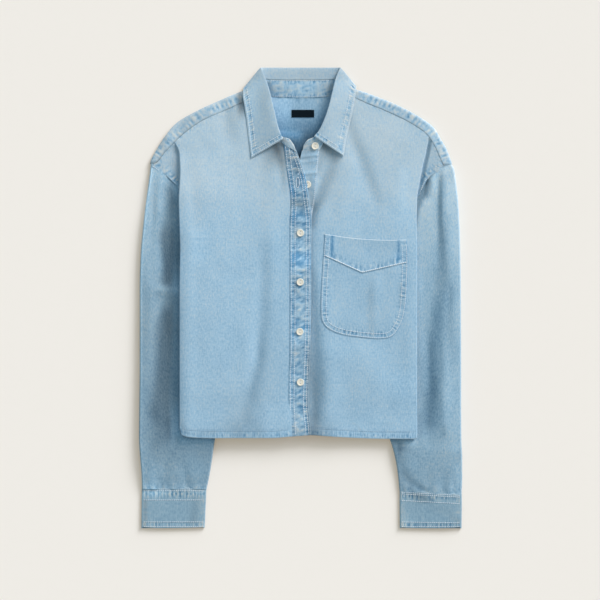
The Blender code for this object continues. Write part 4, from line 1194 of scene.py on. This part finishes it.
yoke = Cloth("yoke")
yoke.add(*yoke_side(-1, SHOULDER_RIGHT), flip=True)
yoke.add(*yoke_side(1, SHOULDER_LEFT))
xs = np.linspace(-84, 84, steps(168))
neck = table(YOKE_NECK)["y"](np.abs(xs))
yy = mix(BACK_SEAM_Y + 0.3, neck[None, :] + 1.5, np.linspace(0, 1, steps(112))[:, None])
xx = np.repeat(xs[None, :], yy.shape[0], axis=0)
wash, rise = seam_wash(np.abs(yy - neck[None, :]), xx, 2.0, 5.0, 12.0, 95, 0.3)
zz = 1.9 + 0.25 * noise(xx, yy, (30, 60), 96) + rise
# Painted shade: deeper in colour towards the placket.
wash = wash + profile((205, -0.9), (250, -0.85), (270, -0.65), (292, -0.3), (313, 0))(yy)
# Painted shade: the inside of the neck is painted dim towards the placket, where the fronts and the collar
# shade it, with paler patches at its left where less of their shadow falls and a darker one right of the
# middle.
tone = profile((205, 0.38), (250, 0.5), (270, 0.8), (295, 0.96), (313, 0.95))(yy)
patch = 0.22 * smooth((-xx - 2) / 22) * smooth((yy - 235) / 25)
tone = tone * (1 + patch - 0.10 * bump((xx - 12) / 11) * smooth((292 - yy) / 20))
tone = tone * (1 + 0.75 * bump((yy - 255) / 8) * (1 - smooth((xx + 4) / 14)))
yoke.add(places(xx, yy, zz), wash, tone)
yoke = keep(yoke.build(chambray("yoke")))

# ---------------------------------------------------------------- collar
STANDS = {-1: table(STAND_RIGHT), 1: table(STAND_LEFT)}
LEAVES = {-1: table(LEAF_RIGHT), 1: table(LEAF_LEFT)}
DENSE = 18
LEAF_TURN = np.array((0.8, 0.6))  # the way that the leaf turns out, in plan


def spot(tabs, side, part, name):
    """The place that a table's _x, _y and _z columns give at a station."""
    x, y, z = (float(tabs[side][f"{name}_{axis}"](part)) for axis in "xyz")
    return np.array((side * x, y, z))


def collar_parts(first, dense):
    """Stations round the neck, from the right front's end to the left's."""
    runs = [np.linspace(p, p + 1, dense, endpoint=False) for p in range(first, 11)]
    parts = np.concatenate(runs + [[11.0]])
    return [(-1, p) for p in parts] + [(1, p) for p in parts[-2::-1]]


across = steps(32)
t = np.linspace(0, 1, across)[:, None]
sections = []
for side, part in collar_parts(0, DENSE):
    section = mix(spot(STANDS, side, part, "neck"), spot(STANDS, side, part, "top"), t)
    section[:, 2] += 1.2 * np.sin(math.pi * t[:, 0]) * (1 if part > 7 else 0.3)
    sections.append(section)
grid = np.stack(sections)
length = lengths(grid[:, -1])[:, None]
down = np.linspace(0, 30, across)[None, :]
run = length + 0 * down
wash, rise = seam_wash(np.minimum(down, 30 - down), run, 3.5, 3.5, 6.0, 101, 0.7)
wash2, rise2 = seam_wash(np.abs(down - 15), run, 0.0, 9.0, 14.0, 103, 0.3)
wash2 = wash2 + 0.45 * noise(length + 0.9 * down, down - 0.3 * length, (13, 3.6), 105)
front_end = 1 - smooth(np.minimum(length, length[-1] - length) / 45)
wash2 = wash2 + 0.45 * front_end
grid[..., 2] += rise + rise2
# Painted shade and light from the strokes.
tone = (1.10 - 0.12 * front_end) * (1 - dips(STAND_SHADES, grid[..., 0], grid[..., 1]))
turns = [("first last", 1.3, 0.6, 0.9), ("right", 0.8, 0.6, 0.9)]
collar_stand = make_cloth("collar_stand", grid, wash + wash2 + 0.18, tone, turns, True)

sections = []
over_t = np.linspace(0, 1, steps(58))
under_t = np.linspace(0, 1, 12)[:-1]
for side, part in collar_parts(2, DENSE):
    neck, upper = spot(STANDS, side, part, "neck"), spot(STANDS, side, part, "top")
    fold, edge = spot(LEAVES, side, part, "fold"), spot(LEAVES, side, part, "edge")
    front = 1 - float(smooth((part - 5.6) / 1.8))
    ground = float(body_z(edge[0], min(edge[1], 320.0))[0])
    edge[2] += mix(5.2, ground, front)
    turn = math.radians(float(LEAVES[side]["turn"](part)))
    level = math.cos(turn)
    out = np.array((side * LEAF_TURN[0] * level, LEAF_TURN[1] * level, math.sin(turn)))
    rising = (upper - neck) / np.linalg.norm(upper - neck)
    begin = upper + rising * 0.6 + np.array((0, 0, 0.5))
    leave, arrive = fold + out * 2.2, edge + (fold - edge) * 0.4
    arrive[2] = mix(edge[2], fold[2], 0.30)
    under = [bezier(begin, begin + rising * 1.5, fold - out * 1.5, fold, t) for t in under_t]
    over = [bezier(fold, leave, arrive, edge, t) for t in over_t]
    sections.append(np.array(under + over))
grid = np.stack(sections)
x, y = grid[..., 0], grid[..., 1]
count = len(under_t)
widths = np.linalg.norm(grid[:, -1] - grid[:, count], axis=1)[:, None]
from_edge = widths * (1 - np.concatenate((np.zeros(count), over_t))[None, :])
run = lengths(grid[:, -1])[:, None] + 0 * from_edge
wash, rise = seam_wash(from_edge, run, 5.6, 3.4, 4.2, 111, 1.0)
for side, tip in LEAVES.items():
    ends = [(side * tip[f"{n}_x"](2), tip[f"{n}_y"](2)) for n in ("fold", "edge")]
    same_side = (x * side > 0) & (y < 300)
    more, lift = seam_wash(*along(ends, x, y), 5.6, 3.4, 4.2, 121, 1.0)
    wash, rise = wash + more * same_side, rise + lift * same_side
grid[..., 2] += rise
tone = np.where(x < 0, 0.96, 0.905) * mix(1, 0.87, smooth((y - 335) / 14))
# Painted shade and light from the strokes, and a painted highlight along the outer edge of the wearer's
# right leaf.
tone = tone * (1 - dips(COLLAR_SHADES, x, y))
tone = tone * (1 + 0.22 * ((x < 0) * bump(from_edge / 3.5)))
turns = [("first last", 1.3, 0.6, 1.2), ("right", 1.3, 0.6, 0.6)]
collar = make_cloth("collar", grid, wash + 0.36, tone, turns, True)

# ---------------------------------------------------------------- sleeves and cuffs
TROUGH_DEPTH = {
    -1: profile(
        (-300, 0.5), (-225, 0.6), (-190, 2), (-150, 4), (-60, 4.4), (0, 3.4), (14, 1.2), (30, 4.2),
        (90, 4.6), (150, 4), (175, 2.6),
    ),
    1: profile((-300, 0), (175, 0)),
}
SLEEVE_BASE = {
    -1: profile(
        (-305, 5), (-292, 5.9), (-270, 9.2), (-225, 11.4), (-190, 11.2), (-100, 9.8), (50, 7.8),
        (178, 6.8), (208, 5),
    ),
    1: profile(
        (-305, 5), (-285, 6.2), (-250, 9), (-225, 10.4), (-190, 10), (-100, 9.8), (0, 10.6),
        (80, 11), (150, 12), (205, 9.4),
    ),
}
# The wearer's left sleeve climbs outward: where the slope's middle is, how wide the
# slope is and how high it climbs.
CLIMB = table((
    "y middle width height",
    (-245, 206, 34, 0), (-215, 206, 34, 2.6), (-190, 206, 36, 6), (-150, 206, 36, 7.2),
    (-100, 206, 36, 7.2), (-50, 212, 28, 6), (10, 217, 24, 5), (50, 222, 20, 4.6),
    (90, 220, 13, 4.4), (130, 218.5, 9, 4.4), (170, 218.5, 8, 4.2), (203, 221, 8, 1),
))
# Painted shadow: the body's side casts a shadow on the wearer's right sleeve, painted
# in as darker, deeper colour beside the body: how far out that starts, over what width,
# how much, and how much paler it is inside a second line.
BODY_SHADOW_ON_SLEEVE = table((
    "y start soft depth inner back",
    (-300, 226, 8, 0.04, 206, 0), (-280, 226, 8, 0.1, 206, 0), (-262, 228, 10, 0.12, 206, 0),
    (-245, 240, 14, 0.16, 206, 0), (-230, 246, 22, 0.26, 208, 0.1), (-215, 246, 32, 0.38, 206, 0.4),
    (-200, 246, 30, 0.44, 206, 0.56), (-175, 248, 24, 0.5, 207, 0.46),
    (-150, 244, 24, 0.5, 208, 0.3), (-100, 240, 26, 0.48, 206, 0.34),
    (-50, 238, 28, 0.49, 204, 0.4), (-25, 226, 14, 0.46, 203, 0.46), (0, 217, 10, 0.26, 203, 0.26),
    (12, 215, 8, 0.2, 203, 0.4), (25, 223, 15, 0.5, 204, 0.56), (50, 220, 12, 0.57, 204, 0.32),
    (75, 223, 14, 0.54, 202, 0.22), (100, 228, 18, 0.5, 202, 0.24), (125, 222, 20, 0.36, 203, 0.18),
    (150, 219, 19, 0.44, 202, 0.24), (170, 219, 19, 0.42, 203, 0.4), (190, 212, 14, 0.16, 203, 0.1),
))
# Painted shade along each sleeve: darker over its lower part, lightest near the armhole.
SLEEVE_SHADE_ALONG = {
    -1: profile(
        (-300, 0.86), (-270, 0.8), (-240, 0.73), (-200, 0.7), (-150, 0.7), (-100, 0.71), (-50, 0.7),
        (0, 0.75), (50, 0.81), (100, 0.86), (150, 0.91), (205, 0.94),
    ),
    1: profile(
        (-300, 0.78), (-250, 0.78), (-200, 0.84), (-100, 0.88), (0, 0.9), (50, 0.94), (100, 1),
        (150, 1), (205, 0.99),
    ),
}
# Painted light: each sleeve is painted paler towards the armhole.
SLEEVE_TOP_LIGHT = {
    -1: profile((-300, 0), (-200, -0.05), (0, 0), (100, 0.05), (205, 0.12)),
    1: profile((-300, 0), (-200, 0), (0, 0), (100, 0.18), (205, 0.32)),
}
CUFF_LINES = {-1: (-294.2, -313.0, -347.2, -356.6), 1: (-301.5, -316.0, -348.0, -356.8)}
CUFF_SLANT = {-1: 0.0, 1: -0.055}
LOWEST = 0.7  # height of a tube's underside


def sleeve_top(side, x, y, width, u):
    """Height of a sleeve's upper face at a distance u from its outer edge."""
    free = smooth((-205 - y) / 30)
    ridge = 2.6 if side < 0 else 1.2
    z = SLEEVE_BASE[side](y) + ridge * bump((u / width - 0.20) / 0.20) * mix(1, 0.5, free)
    z = z - TROUGH_DEPTH[side](y) * smooth((u - 16) / 22) * (1 - free)
    if side > 0:
        start = CLIMB["middle"](y) - 0.5 * CLIMB["width"](y)
        z = z - CLIMB["height"](y) * (1 - smooth((x - start) / CLIMB["width"](y)))
    z = z - dips(SLEEVE_FOLDS, x, y)
    z = z + 0.35 * noise(x, y, (24, 46), 131) + 0.14 * noise(x, y, (8, 16), 132)
    return np.maximum(z, 2.4)


def cuff_top(side, x, y, width, u):
    return 4.8 + 0.4 * bump((u / width - 0.25) / 0.2) + 0.2 * noise(x, y, (22, 30), 161)


def build_tube(side, rows, top, radius, across_step, along_step):
    """A flattened tube: its grid, how far round each column is, its rings, and a mask of
    its upper face."""
    tab = table(rows)
    first, last = tab["ends"]
    length = abs(float(tab["outer_y"](first) - tab["outer_y"](last)))
    rings = np.linspace(first, last, steps(length, along_step))
    outer, inner = (
        places(side * tab[f"{n}_x"](rings), tab[f"{n}_y"](rings)) for n in ("outer", "inner")
    )
    width = np.linalg.norm(inner - outer, axis=1)[:, None]
    across = (inner - outer) / width
    up = places(across[:, 1], -across[:, 0]) * side
    count = steps(float(width.mean()), across_step)
    flat = width - 2 * radius

    def place(u):
        bow = tab["bow"](rings)[:, None] * np.sin(np.pi * np.clip(u / (0.5 * width), 0, 1)) ** 0.7
        return outer[:, None] + across[:, None] * u[..., None] + up[:, None] * bow[..., None]

    u = radius + flat * np.linspace(0, 1, count)[None, :]
    xy = place(u)
    z = top(side, xy[..., 0], xy[..., 1], width, u)
    turn = np.linspace(0, np.pi, 12)[1:-1][None, :]

    def rolled(high, sign):
        return (high + LOWEST) / 2 + sign * (high - LOWEST) / 2 * np.cos(turn)

    inside = width - radius + radius * np.sin(turn)
    under = width - radius - flat * np.linspace(0, 1, steps(float(width.mean()), 8))[None, :]
    outside = radius - radius * np.sin(turn)
    bands = (
        (u, z, u),
        (inside, rolled(z[:, -1:], 1), inside),
        (under, np.full(under.shape, LOWEST), 2 * width - under),
        (outside, rolled(z[:, :1], -1), 2 * width + radius - outside),
    )
    grid = [np.concatenate((place(v), height[..., None]), axis=-1) for v, height, _ in bands]
    grid = np.concatenate(grid, axis=1)
    around = np.concatenate([far for _, _, far in bands], axis=1)
    return grid, around, rings, np.arange(grid.shape[1])[None, :] < count


def finish_tube(name, grid, around, wash, tone, side, edges, speckle, shade):
    uv = places(around, np.repeat(grid[:, :1, 1], grid.shape[1], axis=1))
    rows = grid.shape[0]
    grid, wash, tone = lip(grid, wash, tone, edges, 1.0)
    uv = np.concatenate((uv, np.repeat(uv[-1:], grid.shape[0] - rows, axis=0)))
    cloth = Cloth(name).add(grid, wash, tone, uv=uv, closed=True, flip=side > 0)
    return keep(cloth.build(chambray(name, shade, speckle)))


for side, rows, name in ((-1, SLEEVE_RIGHT, "sleeve_right"), (1, SLEEVE_LEFT, "sleeve_left")):
    grid, around, rings, upper = build_tube(side, rows, sleeve_top, 2.2, STEP, STEP * 1.25)
    xx, yy = grid[..., 0], grid[..., 1]
    wash, rise = seam_wash(*along(ARMHOLE[side], xx, yy), 1.0, 3.0, 9.0, 151, 0.3)
    cuff_y = -297.0 if side < 0 else -301.0
    more, lift = seam_wash(yy - cuff_y, xx, 2.0, 8.0, 14.0, 155, 0.3)
    grid[..., 2] += (rise + 1.6 * lift) * upper
    wash = (wash + more) * upper + SLEEVE_TOP_LIGHT[side](yy) + 0.06 * noise(xx, yy, (26, 50), 141)
    tone = SLEEVE_SHADE_ALONG[side](yy)
    if side > 0:
        # Painted shade: deeper in colour along the climb's slope, lighter on the outer part, and darker
        # below the hem's corner where the body's shadow falls.
        deep = bump((xx - CLIMB["middle"](yy)) / 13) * smooth((30 - yy) / 60)
        deep = deep * smooth((yy + 225) / 40)
        wash = wash - 0.40 * deep
        tone = tone * (1 - 0.05 * deep) * (1 + 0.05 * smooth((xx - 228) / 12))
        tone = tone * (1 - 0.10 * smooth((176 - xx) / 20) * smooth((-215 - yy) / 12))
    else:
        # Painted shadow of the body's side on the sleeve, darker and deeper in colour.
        beyond = smooth((BODY_SHADOW_ON_SLEEVE["start"](yy) + xx) / BODY_SHADOW_ON_SLEEVE["soft"](yy))
        unshadowed = 1 - BODY_SHADOW_ON_SLEEVE["depth"](yy) * beyond
        tone = tone * (unshadowed + BODY_SHADOW_ON_SLEEVE["back"](yy) * smooth((BODY_SHADOW_ON_SLEEVE["inner"](yy) + xx) / 11))
        wash = wash - 0.45 * (1 - unshadowed) * upper
        tone = tone * (1 + 0.22 * (1 - unshadowed))
        # Painted highlight along the sleeve's rounded outer edge.
        rim = 0.60 - 0.28 * smooth((-90 - yy) / 80)
        tone = tone * (1 + rim * bump(np.minimum(around, around.max() - around) / 4.0))
    # Painted shade and light from the strokes: shade is painted darker and deeper in colour.
    shades = dips(SLEEVE_SHADES, xx, yy) * upper
    wash = wash - 0.8 * np.maximum(shades, 0)
    tone = tone * (1 - np.minimum(shades, 0) - 0.6 * np.maximum(shades, 0))
    finish_tube(name, grid, around, wash, tone, side, "", 1.3, (1.0, 1.0, 0.985))

for side, rows, name in ((-1, CUFF_RIGHT, "cuff_right"), (1, CUFF_LEFT, "cuff_left")):
    grid, around, rings, upper = build_tube(side, rows, cuff_top, 2.5, STEP * 0.8, STEP * 0.8)
    xx, wide = grid[..., 0], np.abs(grid[..., 0])
    yy = grid[..., 1]
    top_y, band_y, hem_y, end_y = CUFF_LINES[side]
    slant = (wide - 200) * CUFF_SLANT[side]
    off_band = np.abs(yy - slant - (top_y + band_y) / 2)
    off_hem = np.abs(yy - (hem_y + end_y) / 2)
    band, rise1 = seam_wash(off_band, xx, 0.0, 6.5, 5.2, 165, 0.85)
    hem, rise2 = seam_wash(off_hem, xx, 0.0, 5.0, 5.2, 169, 0.85)
    band = band + 0.16 * bump(off_band / 9) + 0.20 * bump(off_hem / 6)
    ends = bump((wide - wide.min()) / 12) + bump((wide - wide.max()) / 12)
    round_it = (around - around.min()) / (0.5 * around.max())
    last = smooth((rings[:, None] - 2.2) / 0.8)
    grid[..., 1] += 2.6 * last * (2 * np.clip(round_it, 0, 1) - 1) ** 4 * upper
    grid[..., 2] += (rise1 + rise2) * upper
    frayed = 0.30 * ends + 0.25 * ends * noise(xx, yy, (6, 3), 173)
    wash = (band + hem + frayed) * upper - 0.12
    wash = wash + 0.22 * bump((xx - side * 192) / 0.9) * upper
    # Painted highlight along the right cuff's rounded edges.
    rim = 0.24 * (side < 0) * bump(np.minimum(around, around.max() - around) / 3.5)
    tone = (0.755 if side < 0 else 0.745) * (1 + rim)
    # Painted shade and light from the strokes.
    tone = tone * (1 - dips(CUFF_SHADES, xx, yy) * upper)
    finish_tube(name, grid, around, wash, tone, side, "first last", 1.0, (1.01, 1.0, 0.965))

# ---------------------------------------------------------------- pocket
TOP_IN, TOP_OUT = (38.8, 100.6), (165.0, 91.6)  # the ends of the pocket's opening
tab = table(POCKET)
rows = np.linspace(0, 4, steps(100), endpoint=False), np.linspace(4, 10, steps(80))
rows = np.concatenate(rows)
t = np.linspace(0, 1, steps(130))
columns = ("inner_x", "inner_y", "outer_x", "outer_y")
ix, iy, ox, oy = (tab[n](rows)[:, None] for n in columns)
xx = mix(ix, ox, t[None, :])
yy = mix(iy, oy, t[None, :]) - tab["sag"](rows)[:, None] * np.sin(np.pi * t[None, :])
outline = np.concatenate((places(ix[:, 0], iy[:, 0]), places(ox[:, 0], oy[:, 0])[::-1]))
d, s = along(outline[::3], xx, yy)
wash, rise = seam_wash(d, s, 6.2, 5.0, 5.4, 181, 0.75)
grid = places(xx, yy, body_z(xx, yy) + 0.4 + 0.7 * bump((d - 22) / 18) + rise)
turns = [("left right last", 0.4, 0.5, -0.9)]
pocket = make_cloth("pocket", grid, wash + 0.02, pocket_tone(xx, yy), turns, True)

left, right = float(tab["inner_x"](1.8)), float(tab["outer_x"](2.0))
top_x = mix(TOP_IN[0], TOP_OUT[0], t)
top_y = mix(TOP_IN[1], TOP_OUT[1], t) - 3.5 * np.sin(np.pi * t)
low_y = np.where(
    top_x < BAND_POINT_X,
    mix(BAND_INNER_Y, BAND_POINT_Y, (top_x - left) / (BAND_POINT_X - left)),
    mix(BAND_POINT_Y, BAND_OUTER_Y, (top_x - BAND_POINT_X) / (right - BAND_POINT_X)),
)[None, :]
yy = mix(top_y[None, :], low_y, np.linspace(0, 1, steps(50))[:, None])
xx = np.repeat(top_x[None, :], yy.shape[0], axis=0)
side_d = np.minimum(xx - TOP_IN[0], TOP_OUT[0] - xx)
wash, rise = seam_wash(yy - low_y, xx, 6.0, 6.5, 6.5, 191, 0.65)
more, lift = seam_wash(side_d, yy, 3.5, 3.5, 7.0, 195, 0.5)
# The two bars of close stitches near the opening's ends.
bars = -0.95 * (bump((xx - 50.0) / 2.8) + 0.8 * bump((xx - 153.5) / 3.0))
bars = bars * smooth((yy - low_y) / 8)
wash = wash + more + bars * (1 + 0.3 * noise(xx, yy, (3, 8), 197))
grid = places(xx, yy, body_z(xx, yy) + 0.8 + 0.7 * bump((side_d - 22) / 18) + rise + lift)
turns = [("first", 1.0, 0.7, 1.0), ("last right", 0.4, 0.4, -0.5), ("left", 1.4, 0.3, -1.2)]
pocket_band = make_cloth("pocket_band", grid, wash + 0.04, pocket_tone(xx, yy), turns, True)

# ---------------------------------------------------------------- label
xx, yy = np.meshgrid(np.linspace(-12.8, 21.7, 40), np.linspace(283.8, 294.8, 14))
grid = places(xx, yy, 2.9 + 0.1 * np.sin(xx / 5))
grid, wash, tone = lip(grid, 0.0, 1.0, "first last left right", 0.6)
LABEL_BLACK = plain("neck_label", (0.004, 0.009, 0.014), 0.95, 0.8, 1400, gloss=0.05)
keep(Cloth("neck_label").add(grid, wash, tone).build(LABEL_BLACK))

# ---------------------------------------------------------------- buttons
# Radius and height round a button's half section, from the middle of its top.
BUTTON_PROFILE = (
    (0, 1.45), (3, 1.4), (3.9, 1.42), (4.3, 1.56), (4.7, 1.74), (5.05, 1.76), (5.45, 1.6),
    (5.7, 1.15), (5.62, 0.6), (5.1, 0.15), (4.2, 0), (0, 0),
)
HOLE_APART, HOLE_R = 1.55, 0.8  # from the button's middle to a hole's, and its radius
CREAM = plain("button", (0.72, 0.71, 0.62), 0.34, 0.10, 400, 0.03)


def build_button(number, x, y, floor, material):
    name = f"button_{number}"
    turn = np.linspace(0, 2 * np.pi, 49)[:-1]
    grid = [
        [(x + r * math.cos(a), y + r * math.sin(a), floor + z) for a in turn]
        for r, z in BUTTON_PROFILE
    ]
    button = Cloth(name).add(np.array(grid), closed=True).build(material)
    for end in (-1, 1):
        spot = np.array((x, y + end * HOLE_APART, floor + 1.2)) + CENTRE
        bpy.ops.mesh.primitive_cylinder_add(
            vertices=16, radius=HOLE_R * MM, depth=6 * MM, location=spot * MM
        )
        tool = bpy.context.object
        cut = button.modifiers.new("hole", "BOOLEAN")
        cut.operation, cut.solver, cut.object = "DIFFERENCE", "EXACT", tool
        bpy.context.view_layer.objects.active = button
        bpy.ops.object.modifier_apply(modifier=cut.name)
        bpy.data.objects.remove(tool)
    keep(button)
    z = floor + 1.1
    runs = np.array([[(x + k * 0.3, y - 1.5, z), (x + k * 0.3, y + 1.5, z)] for k in (-1, 1)])
    thread = stitch_mesh(f"{name}_thread", [runs], THREAD, 0.42, 8)
    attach(thread, "root")


def button_floor(number, x, y):
    """Height that a button lies at: on the collar stand's tab, the left front or the placket."""
    if number == 1:
        return 10.6
    if number == 2:
        return float(body_z(x, y)[0]) + 1.2
    return float(placket_z(np.array([x]), np.array([y]))[0]) + 0.2


for number, (x, y) in enumerate(BUTTONS, 1):
    build_button(number, x, y, button_floor(number, x, y), CREAM)

# ---------------------------------------------------------------- stitches
seams = {}


def stitched(piece, lines, **how):
    seams.setdefault(piece["part"], []).append(sew(piece, lines, **how))


def level_line(xs, y):
    return places(xs, 0 * xs + y)


for side, piece in ((-1, front_right), (1, front_left)):
    xs = np.linspace(18, 183, 60) * side
    stitched(piece, [places(xs, HEM_Y(xs) + 10.4)], material=THREAD_DARK, suffix="hem_stitches")
    stitched(piece, [inset_line(ARMHOLE[side], inset * side) for inset in (1.6, 9.0)])
    seam = inset_line(YOKE_SEAM[side], 1.6 * side)
    stitched(yoke, [seam], suffix=f"stitches_{STAND_SIDE[side]}")
tab = table(PLACKET)
ys = np.linspace(-211, 238, 90)
left_line = places(tab["left"](ys) + 2.2, ys)
right_line = places(tab["right"](ys) - 2.2, tab["right_y"](ys))
second = [left_line + np.array((5.6, 0)), right_line - np.array((4.6, 0))]
stitched(placket, [left_line, right_line, *second])
angle = np.linspace(0, 2 * math.pi, 49)
hole = places(-3.6 + 2.5 * np.cos(angle), 181.5 + 8.6 * np.sin(angle))
stitched(placket, [hole], pitch=1.5, share=0.9, radius=0.55, suffix="buttonhole")
slit = [(-3.6, 174.5), (-3.6, 188.5)]
stitched(placket, [slit], pitch=2, share=1.0, radius=0.4, material=THREAD_DARK, suffix="slit")
ys = np.linspace(70, 230, 60)
stitched(button_stand, [places(table(BUTTON_STAND)["outer"](ys) - 1.2, ys)])
outline_line = rounded(outline[4::6])
stitched(pocket, [inset_line(outline_line, 1.6), inset_line(outline_line, 8.0)])
v_line = [(39, BAND_INNER_Y + 0.6), (BAND_POINT_X, BAND_POINT_Y + 1.6), (165, BAND_OUTER_Y + 1.0)]
stitched(pocket_band, [np.array(v_line)], radius=0.75, share=0.86)
for side, name, ends in ((-1, "cuff_right", (150, 244)), (1, "cuff_left", (158, 249))):
    top_y, band_y, hem_y, end_y = CUFF_LINES[side]
    xs = np.linspace(*ends, 40)
    slant = (xs - 200) * CUFF_SLANT[side]
    rows = ((top_y - 1.8, 1), (top_y - 4.4, 1), (band_y, 1), (hem_y, 0.3), (end_y + 2.2, 0))
    stitched(PIECES[name], [places(side * xs, y + slant * k) for y, k in rows])
for side, tip in LEAVES.items():
    parts = np.linspace(2.0, 6.4, 60)
    edge, fold = (places(side * tip[f"{n}_x"](parts), tip[f"{n}_y"](parts)) for n in ("edge", "fold"))
    inward = (fold - edge) / np.linalg.norm(fold - edge, axis=1, keepdims=True)
    front = np.stack([mix(edge[0], fold[0], k) for k in np.linspace(0.02, 0.97, 30)])
    d = (edge[10] - edge[0]) / np.linalg.norm(edge[10] - edge[0])
    lines = [edge + inward * 1.8, (edge + inward * 8.6)[8:], front + d * 1.8, (front + d * 8.0)[4:]]
    stitched(collar, lines, suffix=f"stitches_{STAND_SIDE[side]}")
xs = np.linspace(-46, 46, 40)
stitched(collar_stand, [level_line(xs, 316.4), level_line(xs, 340.6)])

# ---------------------------------------------------------------- floor, light, camera
floor_material = plain("floor_paper", (0.601, 0.678, 0.735), 1.0, 0.01, 60, 0.02)
paper = floor_material.node_tree.nodes["Principled BSDF"]
paper.inputs["Specular IOR Level"].default_value = 0.0
# Painted light: the floor glows faintly warm by itself, which makes its shadows paler and warmer.
paper.inputs["Emission Color"].default_value = (0.230, 0.135, 0.035, 1)
paper.inputs["Emission Strength"].default_value = 1.0
bpy.ops.mesh.primitive_plane_add(size=6, location=(0, 0, -0.0003))
floor = bpy.context.object
floor.name = "floor"
floor.data.materials.append(floor_material)


def sun(name, toward, angle, energy, colour):
    data = bpy.data.lights.new(name, "SUN")
    data.energy, data.angle, data.color = energy, math.radians(angle), colour
    lamp = bpy.data.objects.new(name, data)
    bpy.context.scene.collection.objects.link(lamp)
    lamp.rotation_euler = Vector(toward).to_track_quat("Z", "Y").to_euler()
    return lamp


sun("key", (0.58, 0.70, 0.43), 24, 2.50, (1.14, 0.99, 0.92))
sun("soft_key", (0.58, 0.70, 0.43), 56, 1.66, (1.14, 0.99, 0.92))
world = bpy.data.worlds.new("studio")
world.use_nodes = True
sky = world.node_tree.nodes["Background"]
sky.inputs[0].default_value = (0.88, 1.04, 1.10, 1)
sky.inputs[1].default_value = 0.46
bpy.context.scene.world = world

camera_data = bpy.data.cameras.new("camera")
LENS, SENSOR = 200, 36  # in millimetres: a long lens, so that the view is nearly flat
FIELD = 0.936  # width of the view at the floor, in metres
VIEW_Y = -1.3  # the view's middle, in the shirt's millimetres
camera_data.lens, camera_data.sensor_width = LENS, SENSOR
camera = bpy.data.objects.new("camera", camera_data)
camera.location = ((0.0 + CENTRE[0]) * MM, (VIEW_Y + CENTRE[1]) * MM, FIELD * LENS / SENSOR)
bpy.context.scene.collection.objects.link(camera)
camera_data.clip_end = 20
bpy.context.scene.camera = camera
bpy.context.scene.view_settings.view_transform = "Standard"
